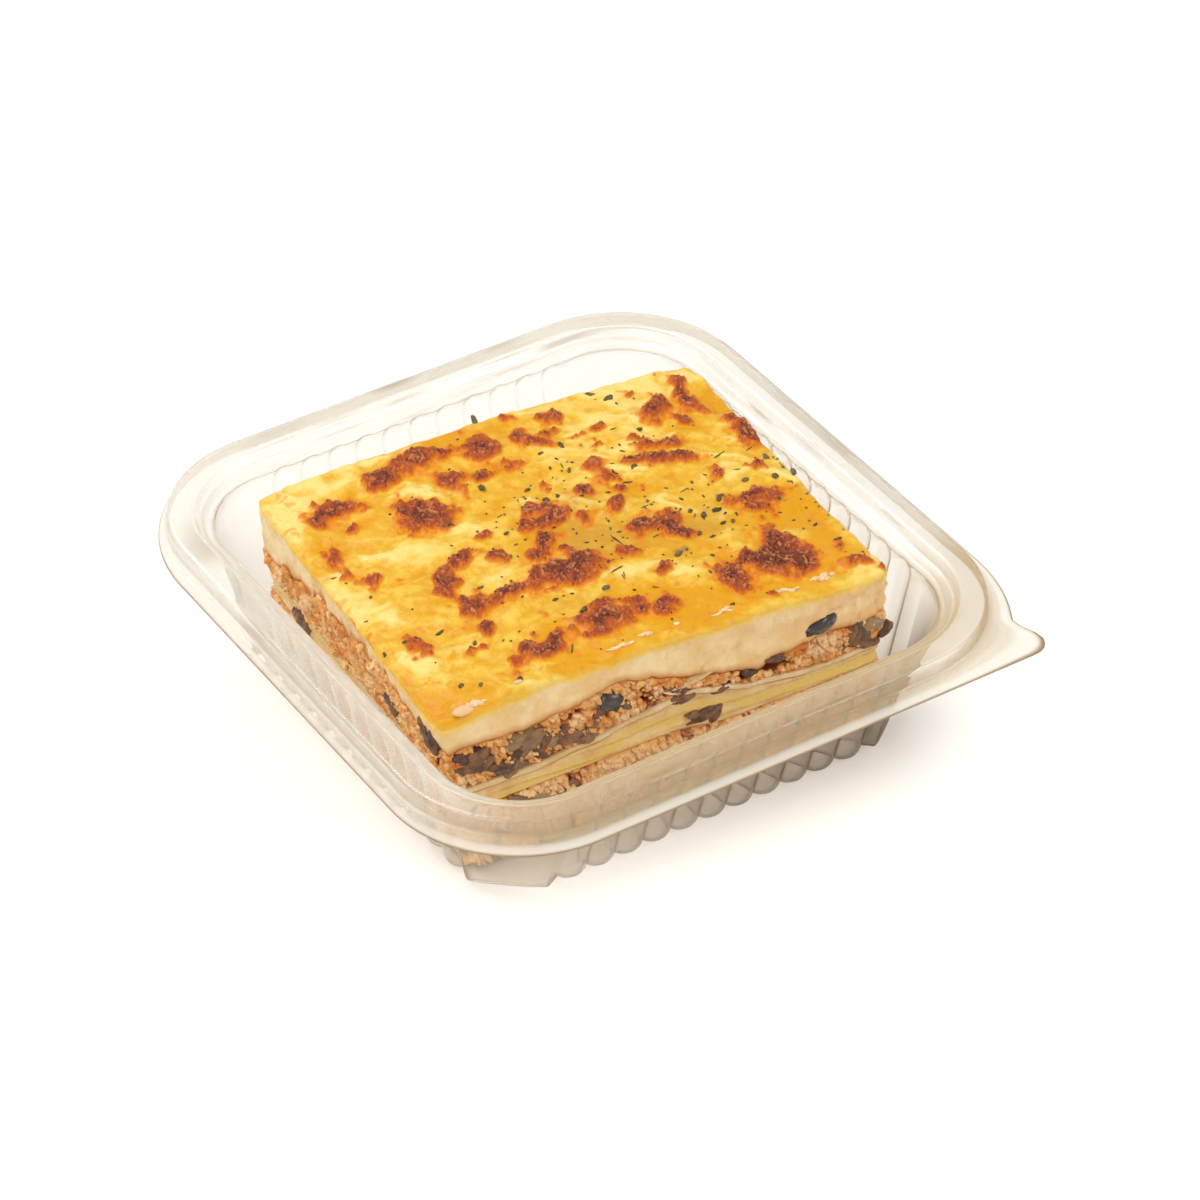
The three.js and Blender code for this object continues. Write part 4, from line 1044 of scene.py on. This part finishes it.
def baked_top(u, v):
    """Height of the baked top and its marks. The height is a swelling, two slopes, long soft folds
    that run slantwise, and craggy blisters where it browned. Every noise is soft_noise of the place
    divided by its size. The folds' crests stay pale, hollows and the rims of blisters turn golden,
    and the mark light paints highlights on the tops of the blisters' grains and shade in their
    crevices."""
    x, y, _ = np.moveaxis(block_point(u, v, np.full(np.shape(u), FOOD_HEIGHT)), -1, 0)
    along, across = from_middle(x, y)

    def noise(size, seed, level=0):
        """Soft noise of the place, in patches of a size."""
        return soft_noise(along / size, across / size, level, seed)

    wide_a, wide_b = noise(6, 81), noise(6, 83, 7)
    near_a, near_b = noise(2.1, 82), noise(2.1, 84, 7)
    bend_a, bend_b = along + 1.9 * wide_a + 1.1 * near_a, across + 1.9 * wide_b + 1.1 * near_b
    field = ellipse_sum(bend_a, bend_b, BLISTERS)
    glow = smooth_step((ellipse_sum(bend_a, bend_b, BLISTERS, 1.7) + 0.3 * near_a - 0.25) / 1.4)
    rough, fine = noise(1.5, 85), noise(0.7, 86)
    ragged = 0.16 * near_a + 0.18 * rough + 0.12 * fine
    browned = np.clip((field + ragged - 0.24) / 0.95, 0.0, 1.0)
    p, q = turned_by(FOLD_TURN, along, across)
    p, q = p + 2.5 * wide_a, q + 2.5 * wide_b

    def fold_noise(length, width, seed, level=0):
        """Soft noise in patches drawn out along the folds."""
        return soft_noise(p / length, q / width, level, seed)

    broad, small, wrinkle = fold_noise(17, 8, 90), fold_noise(6, 3.4, 92), fold_noise(3.4, 1.5, 105)
    crest = np.clip(1.0 - 3.0 * np.abs(fold_noise(15, 7, 91)), 0, 1)
    crest = crest * smooth_step(0.5 + fold_noise(9, 9, 99, 3))
    lump = soft_noise(along / 2.6, across / 2.2, 0, 104)
    folds = 0.6 * broad + 0.45 * crest + 0.3 * small + 0.12 * near_a
    folds = folds + 0.14 * lump + 0.16 * wrinkle + 0.06 * rough
    dot, dot_number = crumbs(bend_a / 2.6, bend_b / 2.4, 107)
    freckle = smooth_step((dot - 0.45) / 0.4) * smooth_step((dot_number - 0.72) / 0.12)
    freckle = freckle * smooth_step(0.6 + 1.2 * noise(13, 108))
    halo = np.maximum(smooth_step((field + 0.5 * ragged + 0.08 * wide_a) / 0.4), 0.7 * freckle)
    halo = np.maximum(halo, 0.62 * glow * smooth_step(0.5 + near_b + rough))
    golden = 0.44 - 0.42 * broad - 0.36 * crest - 0.16 * small - 0.14 * lump
    golden = golden + 0.07 * rough - 0.1 * wrinkle
    golden = golden + 0.4 * glow + 0.65 * np.clip(ellipse_sum(along, across, GOLDEN_PLACES), 0, 1)
    golden = golden - 0.4 * np.clip(ellipse_sum(bend_a, bend_b, PALE_PLACES), 0, 1)
    swell = SWELL * np.sin(math.pi * np.clip(u, 0.001, 0.999)) ** 0.8
    slope = FRONT_CORNER * ((1 - u) * (1 - v)) ** 6 + FRONT_RIGHT * u * (1 - v) ** 2
    lumps, number = crumbs(bend_a / 1.9, bend_b / 1.7, 93)
    grains, shade = crumbs(bend_a / 0.95, bend_b / 0.9, 103)
    crags = smooth_step(2.2 * browned) * (0.3 + 0.35 * lumps + 0.35 * grains)
    height = FOOD_FLOOR + FOOD_HEIGHT + LEVEL + swell + slope + folds - 0.3
    height = height + BLISTER_HEIGHT * crags
    # Painted highlight and shade: light is high on the grains' tops and low in their crevices.
    light = np.clip(0.6 * grains + 0.4 * lumps - 0.2 + 0.5 * (shade - 0.5), 0.0, 1.0)
    return height, {
        "browned": browned, "golden": np.clip(golden, 0.0, 1.0), "halo": halo,
        "deep": np.clip(browned + 0.3 * (number - 0.5) + 0.15 * (shade - 0.5), 0.0, 1.0),
        "light": light * smooth_step((browned - 0.1) / 0.3),
        "dull": np.clip(ellipse_sum(bend_a, bend_b, DULL_PLACES), 0.0, 1.0),
        "stain": np.clip(ellipse_sum(bend_a, bend_b, STAINS), 0.0, 1.0),
    }


def sauce_side_relief(distance, z):
    """The smooth cut side: slow waves, faint drag marks of the knife, and small pits; a little torn
    from the middle on and into shreds round the right-hand end."""
    waves = 0.35 * soft_noise(distance / 12, z / 7, 0, 95)
    waves = waves + 0.12 * soft_noise(distance / 3, z / 2, 0, 96)
    drags = np.where(distance > LEFT, 0.5, 0.1) * soft_noise(distance / 1.2, z / 6, 0, 97)
    pits = -0.35 * smooth_step(soft_noise(distance / 1.1, z / 1.1, 0, 98) * 3 - 2.0)
    torn = smooth_step((130.0 - distance) / 8.0) * (
        0.3 * smooth_step((distance - 45.0) / 20.0) + 0.7 * smooth_step((distance - 94.0) / 8.0))
    shreds = 0.8 * soft_noise(distance / 2.2, z / 2.0, 0, 87)
    shreds = shreds + 0.45 * soft_noise(distance / 0.9, z / 0.9, 0, 88)
    return waves + drags + pits + torn * shreds


def make_baked_sauce():
    """The top as a grid of rows and columns, and rings from its edge down the sides to a pole in
    the middle of the underside; the side rings run between the filling's line and the top's
    edge. The mark down is how far a point lies under the top's edge, near how far over the
    filling's line, and peach runs from 0 at the left to 1 at the right end and back."""
    v, u = np.linspace(0, 1, TOP_ROWS + 1), np.linspace(0, 1, TOP_COLUMNS + 1)
    v, u = np.meshgrid(v, u, indexing="ij")
    z, marks = baked_top(u, v)
    grid = block_point(u, v, z)
    edge_in = np.minimum(np.minimum(u, 1 - u) * TOP_COLUMNS, np.minimum(v, 1 - v) * TOP_ROWS)
    grid[..., 2] -= EDGE_DROP * np.clip(1 - edge_in / 4.0, 0, 1) ** 2
    index = np.arange(grid[..., 0].size).reshape(grid.shape[:2])
    a, b, c, d = index[:-1, :-1], index[:-1, 1:], index[1:, 1:], index[1:, :-1]
    top_faces = np.stack([a, b, c, d], -1).reshape(-1, 4)
    edge = np.concatenate([index[0, :-1], index[:-1, -1], index[-1, :0:-1], index[:0:-1, 0]])
    count = len(edge)
    position = np.concatenate([
        side + np.arange(steps) / steps for side, steps in enumerate((TOP_COLUMNS, TOP_ROWS) * 2)
    ])
    edge_z = grid.reshape(-1, 3)[edge, 2]
    low = filling_edge(position) + LAYER_GAP
    share = np.linspace(0, 1, SIDE_RINGS, endpoint=False)[:, None]
    side_z = low + (edge_z - low) * share
    rings = block_point(*around_block(np.broadcast_to(position, side_z.shape)), side_z)
    distance = distance_round(position)
    push = sauce_side_relief(np.broadcast_to(distance, side_z.shape), side_z)
    push = push * smooth_step(share * SIDE_RINGS / 1.5) * smooth_step((1 - share) * SIDE_RINGS / 2)
    rings[..., :2] += outward_from(rings) * push[..., None]
    points = np.concatenate([grid.reshape(-1, 3), rings.reshape(-1, 3), rings[0].mean(0)[None]])
    first = grid[..., 0].size
    k = np.arange(count)
    ring_index = first + np.arange(SIDE_RINGS)[:, None] * count + k
    stack = np.concatenate([ring_index, edge[None]])
    low_a, low_b = stack[:-1], np.roll(stack[:-1], -1, axis=1)
    high_a, high_b = stack[1:], np.roll(stack[1:], -1, axis=1)
    side_faces = np.stack([low_a, low_b, high_b, high_a], -1).reshape(-1, 4)
    pole = len(points) - 1
    under = np.stack([np.full(count, pole), np.roll(ring_index[0], -1), ring_index[0]], -1)
    below = len(points) - first
    cut = np.concatenate([np.clip(1 - edge_in.ravel() / 3.0, 0, 1) * 0.5, np.ones(below)])
    bare = np.zeros(below)
    marks = {name: np.concatenate([values.ravel(), bare]) for name, values in marks.items()}
    down = np.concatenate([np.zeros(first), (edge_z - side_z).ravel(), [10.0]])
    near = np.concatenate([np.full(first, 9.0), (side_z - low).ravel(), [0.0]])
    peach = smooth_step((distance - 45.0) / 55.0) * smooth_step((LEFT - distance) / 30.0)
    peach = peach * (0.7 + 0.5 * soft_noise(distance / 7.0, side_z / 3.0, 0, 89))
    peach = np.concatenate([np.zeros(first), np.broadcast_to(peach, side_z.shape).ravel(), [0.0]])
    marks.update(cut=cut, down=down, near=near, peach=peach)
    faces = np.concatenate([top_faces, side_faces])
    return make_piece("baked_white_sauce", points, faces, under, marks)


baked_sauce, tree, shader = start_material("baked white sauce", {"Specular IOR Level": 0.24})
place = add_node(tree, "TexCoord").outputs["Object"]
grain = add_node(tree, "Group", {
    "Pale": colour("e8bf42"), "Deep": colour("daa628"), "Patches": 420.0, "Grain": 750.0,
    "Wet": 0.22, "Dry": 0.45,
}, node_tree=MOIST_GRAIN).outputs
tone = mix_by_marks(
    tree, grain["Colour"], ("golden", "da9a04", 0.38, 0.95), ("golden", "f0d478", 0.4, 0.0),
    ("dull", "bc8c30", 0.2, 1.6), ("halo", "dc8410", 0.25, 1.1), ("stain", "857646", 0.3, 1.1),
)
speckle = {"Vector": place, "Scale": 800.0, "Detail": 5.0, "Roughness": 0.65}
speckle = add_node(tree, "TexNoise", speckle).outputs["Fac"]


def add_speckle(mark, amount):
    """A mark's value with the fine speckle added: the value plus amount times the speckle less a
    half."""
    lowered = calculate(tree, "SUBTRACT", mark_value(tree, mark), amount / 2)
    return calculate(tree, "MULTIPLY_ADD", speckle, amount, lowered)


browns = add_node(tree, "ValToRGB", {"Fac": add_speckle("deep", 0.55)})
stops = browns.color_ramp.elements
stops[0].position, stops[0].color = 0.05, colour("e08c12")
stops[1].position, stops[1].color = 1.0, colour("70301c")
for position, code in ((0.2, "d26c18"), (0.42, "b9551f"), (0.72, "9c4428")):
    stops.new(position).color = colour(code)
# Painted highlight and shade: a lighter tan on the grains' tops over darker browns in crevices.
painted_grain_highlight = spread_out(tree, add_speckle("light", 0.6), 0.4, 0.95, 0.0, 0.8)
crust = mix_colours(tree, painted_grain_highlight, browns.outputs["Color"], colour("d88c50"))
tone = mix_colours(tree, spread_out(tree, add_speckle("browned", 0.34), -0.03, 0.3), tone, crust)
cream = {"Pale": colour("f2d8a6"), "Deep": colour("e6c084"), "Patches": 110.0}
cream = add_node(tree, "Group", cream, node_tree=MOIST_GRAIN).outputs["Colour"]
side = mix_by_marks(
    tree, cream, ("peach", "e4b47c", 0.0, 1.5), ("down", "ecc057", 1.8, 0.0),
    ("near", "d29a60", 2.4, 0.0),
)
soft_bump = {"Strength": 0.5, "Distance": 0.6 * MM, "Height": grain["Height"]}
soft_bump = add_node(tree, "Bump", soft_bump).outputs["Normal"]
crag_bump = add_node(tree, "Bump", {
    "Strength": spread_out(tree, mark_value(tree, "browned"), 0.0, 0.4), "Distance": 0.7 * MM,
    "Height": speckle, "Normal": soft_bump,
})
set_inputs(tree, shader, {
    "Base Color": mix_colours(tree, mark_value(tree, "cut"), tone, side),
    "Roughness": grain["Roughness"], "Normal": crag_bump.outputs["Normal"],
})

white_sauce = make_baked_sauce()
white_sauce.data.materials.append(baked_sauce)
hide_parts("bechamel")

# Curds and the cut rind. The knife drew a few white curds and a broken pale line of sauce up over
# the long top edge; they are soft, matt and lighter than the crust.
CURDS = [
    # along and across from the block's middle, length, width, height, turn
    (-50, -45.0, 5.6, 3.0, 1.5, 5), (-46.5, -44.6, 4.2, 2.2, 1.3, -20),
    (-36, -45, 2.2, 1.1, 0.7, 0), (-9.5, -44.2, 2.2, 1.2, 0.8, 30),
    (-2.6, -43.4, 2.0, 1.4, 0.9, -35), (5, -43.4, 1.6, 1.0, 0.7, 0), (18, -43.2, 1.8, 1.2, 0.8, 0),
    (43.5, -42.9, 2.6, 2.0, 1.5, 0), (45.6, -43.0, 1.8, 1.3, 1.0, 10),
]
CURD_LINES = [
    # from and to along the long top edge, distance of its middle behind the edge, thickness
    (-13, -7, 0.4, 1.0), (-4.5, -1.5, 1.4, 1.1), (14, 18.5, 0.6, 0.8), (29.5, 36, 0.6, 0.9),
    (40.5, 44.5, 1.0, 1.5), (-51, -44.5, -0.4, 1.6),
]
CURD_STEP = 0.28
TOP_EDGE = -44.6
NEWTON_STEPS = 6


def on_top(along, across):
    """The point of the baked top over a place, found by Newton steps in the block's own
    directions."""
    x, y = turned_by(-BLOCK_TURN, along, across)
    x, y = BLOCK_X + x, BLOCK_Y + y
    u, v, step = np.full_like(x, 0.5), np.full_like(x, 0.5), 0.01
    level = np.full_like(x, FOOD_HEIGHT)
    for _ in range(NEWTON_STEPS):
        here = block_point(u, v, level)
        right = (block_point(u + step, v, level) - here) / step
        back = (block_point(u, v + step, level) - here) / step
        area = right[:, 0] * back[:, 1] - right[:, 1] * back[:, 0]
        dx, dy = x - here[:, 0], y - here[:, 1]
        u = np.clip(u + (dx * back[:, 1] - dy * back[:, 0]) / area, 0.004, 0.996)
        v = np.clip(v + (dy * right[:, 0] - dx * right[:, 1]) / area, 0.004, 0.996)
    z, _ = baked_top(u, v)
    return block_point(u, v, z)


def lay_on_top(name, places, rng, lumpiness, lift, mark):
    """Small uneven balls laid on the top at along, across, with length, width, height and turn; one
    random mark for each."""
    seat = on_top(places[:, 0], places[:, 1])
    shapes, quads, triangles = small_balls(len(places), rng, lumpiness)
    shapes = shapes * (places[:, None, 2:5] / 2)
    turn, tip = np.radians(places[:, 5] + BLOCK_TURN), 0.2 * rng.normal(size=len(places))
    shapes = turned(shapes, turn, tip)
    points = shapes + seat[:, None, :] + np.array([0.0, 0.0, lift])
    value = np.repeat(rng.random(len(places)), shapes.shape[1])
    return make_piece(name, points.reshape(-1, 3), quads, triangles, {mark: value})


def strand(start, end, behind, thick):
    """A row of places along the long top edge, with the strand's distance behind the edge, its
    thickness and the share of its length at each."""
    at = np.arange(start, end, CURD_STEP)
    share = (at - start) / (end - start)
    return np.stack([at, np.full_like(at, behind), np.full_like(at, thick), share])


rng = np.random.default_rng(21)
at, behind, thick, share = np.concatenate([strand(*row) for row in CURD_LINES], axis=1)
wander = 0.8 * soft_noise(at / 1.9, 0, 0, 110) + 0.25 * soft_noise(at / 0.7, 0, 0, 111)
thick = thick * (0.35 + 0.65 * np.sin(math.pi * np.clip(share, 0.03, 0.97)))
thick = thick * (1 + 0.35 * soft_noise(at / 0.9, 0, 5, 112))
line = np.column_stack([
    at, TOP_EDGE + behind + wander, 1.0 + 0.5 * rng.random(len(at)), thick, 0.8 * thick,
    25 * rng.normal(size=len(at)),
])
white_curd = moist_material(
    "white curd", "ead9b4", "e2c48c", ("curd", "e8b784", 0.6, 1.0),
    patches=400.0, grain=1500.0, wet=0.35, dry=0.6, bump=0.2,
)
places = np.concatenate([np.array(CURDS, float), line])
curds = lay_on_top("white_curds", places, rng, lumpiness=0.1, lift=0.1, mark="curd")
curds.data.materials.append(white_curd)

# Herb flakes. Dried leaves strewn over the top before baking, the larger ones placed one by one and
# crumbs of leaf and fine stalks between them, thickest from the middle to the right.
LARGE_FLAKES = [
    # along and across from the block's middle, length, width, turn
    (-1, 50, 4.2, 1.5, 80), (29, 46, 3.0, 1.6, -40), (32, 42, 3.4, 1.7, 20),
    (-11, 24, 3.8, 1.6, 75), (-25, 14, 2.2, 1.4, 10), (13, 30, 3.0, 1.1, 85), (33, 28, 1.6, 1.4, 0),
    (0, 12, 2.2, 1.8, 60), (55, 5, 2.6, 1.5, 80), (53, -3, 2.7, 1.6, 70), (58, -3, 2.5, 1.2, 70),
    (46, -1, 2.3, 1.4, 0), (34, -9, 2.7, 1.6, 10), (30, -10, 2.1, 1.3, 80), (37, -5, 3.0, 1.4, 40),
    (26, -15, 2.4, 1.3, 60), (18, -20, 3.0, 1.6, 50), (-17, -3, 2.0, 1.2, 60),
    (-51, -18, 2.1, 1.3, 0), (-43, -19, 2.5, 1.0, 20), (-35, -44, 2.4, 1.2, 60),
    (-43, -40, 1.8, 1.0, 60), (-47, -38, 2.0, 1.1, 40), (-3, -24, 2.4, 1.6, 30),
    (-11, -29, 2.8, 1.2, 20), (54, -31, 2.0, 1.2, 0), (24, 14, 1.8, 1.1, 40),
    (-2, 18, 1.8, 1.1, 10), (3, 12, 1.6, 1.0, 70), (-5, 12, 1.9, 0.9, 30), (10, 20, 2.0, 0.8, 60),
    (7, 29, 1.6, 0.9, 0), (-14, 5, 1.8, 1.0, 20), (33, -14, 1.6, 1.0, 10),
    (35.5, -14, 1.4, 1.0, 60), (28, -7, 1.5, 1.1, 30), (28, -18, 1.6, 1.0, 0),
    (24.5, -24, 1.2, 1.2, 0), (52, -24, 1.6, 0.9, 40), (-15, -22, 1.7, 1.0, 20),
    (-57, -19, 1.5, 0.8, 80), (-38, -27, 1.6, 0.9, 60), (-28, -10, 1.7, 0.9, 10),
    (7.5, -9.5, 5.2, 0.4, -75), (38.5, -25, 6.0, 0.4, 38), (-20, -40, 4.0, 0.35, 60),
    (45, 10, 3.6, 0.35, 20), (20, 10, 3.4, 0.35, -20), (2, -20, 3.8, 0.35, 15),
    (30, -30, 3.2, 0.3, 50), (-6, 15, 3.0, 0.3, 70),
]
SMALL_FLAKES, STALKS = 260, 18

rng = np.random.default_rng(8)
spread = rng.normal(size=(SMALL_FLAKES + STALKS, 2))
spread = np.clip(spread * [25.0, 19.0] + [13.0, -5.0], [-56, -43], [57, 47])
length = 0.4 + 1.0 * rng.random(SMALL_FLAKES) ** 2.2
length = np.concatenate([length, 1.2 + 1.8 * rng.random(STALKS)])
width = np.concatenate([0.35 + 0.4 * rng.random(SMALL_FLAKES), np.full(STALKS, 0.26)])
turn = 180 * rng.random(SMALL_FLAKES + STALKS)
strewn = np.column_stack([spread, length, width, 0.2 + 0.12 * width, turn])
large = np.array(LARGE_FLAKES)
large = np.column_stack([large[:, :4], 0.25 + 0.22 * large[:, 3], large[:, 4]])
dried_herb = moist_material(
    "dried herb", "75644a", "4c3d2a", ("leaf", "7c7050", 0.55, 1.0),
    inputs={"Specular IOR Level": 0.05},
    patches=700.0, grain=2500.0, wet=0.5, dry=0.8, bump=0.1,
)
places = np.concatenate([large, strewn])
herb_flakes = lay_on_top("herb_flakes", places, rng, lumpiness=0.14, lift=0.08, mark="leaf")
herb_flakes.data.materials.append(dried_herb)

# Floor, light and camera. A plain white table, soft boxes over and beside it, and the photograph's
# view: a long lens a metre away, turned 33 degrees to the left and looking 38 degrees down.
AZIMUTH, ELEVATION, DISTANCE, LENS = math.radians(-32.975), math.radians(38.366), 1.08507, 141.88
TARGET = np.array([-0.0053, -0.01995, 0.0395])

floor_mesh = bpy.data.meshes.new("table")
floor_mesh.from_pydata([(-3, -3, 0), (3, -3, 0), (3, 3, 0), (-3, 3, 0)], [], [(0, 1, 2, 3)])
floor = bpy.data.objects.new("table", floor_mesh)
bpy.context.scene.collection.objects.link(floor)
floor.location.z = -0.0002
table_top, tree, shader = start_material(
    "white table", {"Base Color": (0.93, 0.93, 0.925, 1), "Roughness": 0.6},
)
floor_mesh.materials.append(table_top)


def soft_box(name, place, size, power, tint):
    """A square area light at a place, turned to the object; metres and watts."""
    light = bpy.data.lights.new(name, "AREA")
    light.shape, light.size, light.energy, light.color = "SQUARE", size, power, tint
    lamp = bpy.data.objects.new(name, light)
    bpy.context.scene.collection.objects.link(lamp)
    lamp.location = place
    lamp.rotation_euler = (Vector(place) - Vector((0, 0, 0.03))).to_track_quat("Z", "Y").to_euler()


soft_box("over and behind", (-0.25, 0.55, 1.1), size=0.8, power=9.0, tint=(1.0, 0.99, 0.97))
soft_box("front right", (0.75, -0.85, 0.75), size=0.7, power=5.0, tint=(1.0, 0.98, 0.95))
soft_box("front left", (-1.0, -0.45, 0.7), size=0.8, power=4.0, tint=(1.0, 0.98, 0.96))
world = bpy.data.worlds.new("studio")
world.use_nodes = True
world.node_tree.nodes["Background"].inputs["Color"].default_value = (1.0, 0.995, 0.985, 1)
world.node_tree.nodes["Background"].inputs["Strength"].default_value = 0.56
bpy.context.scene.world = world
bpy.context.scene.view_settings.view_transform = "Standard"

towards_eye = np.array([
    math.sin(AZIMUTH) * math.cos(ELEVATION), -math.cos(AZIMUTH) * math.cos(ELEVATION),
    math.sin(ELEVATION),
])
lens = bpy.data.cameras.new("camera")
lens.lens, lens.sensor_width = LENS, 36.0
camera = bpy.data.objects.new("camera", lens)
bpy.context.scene.collection.objects.link(camera)
camera.location = TARGET + towards_eye * DISTANCE
camera.rotation_euler = (math.pi / 2 - ELEVATION, 0.0, AZIMUTH)
bpy.context.scene.camera = camera
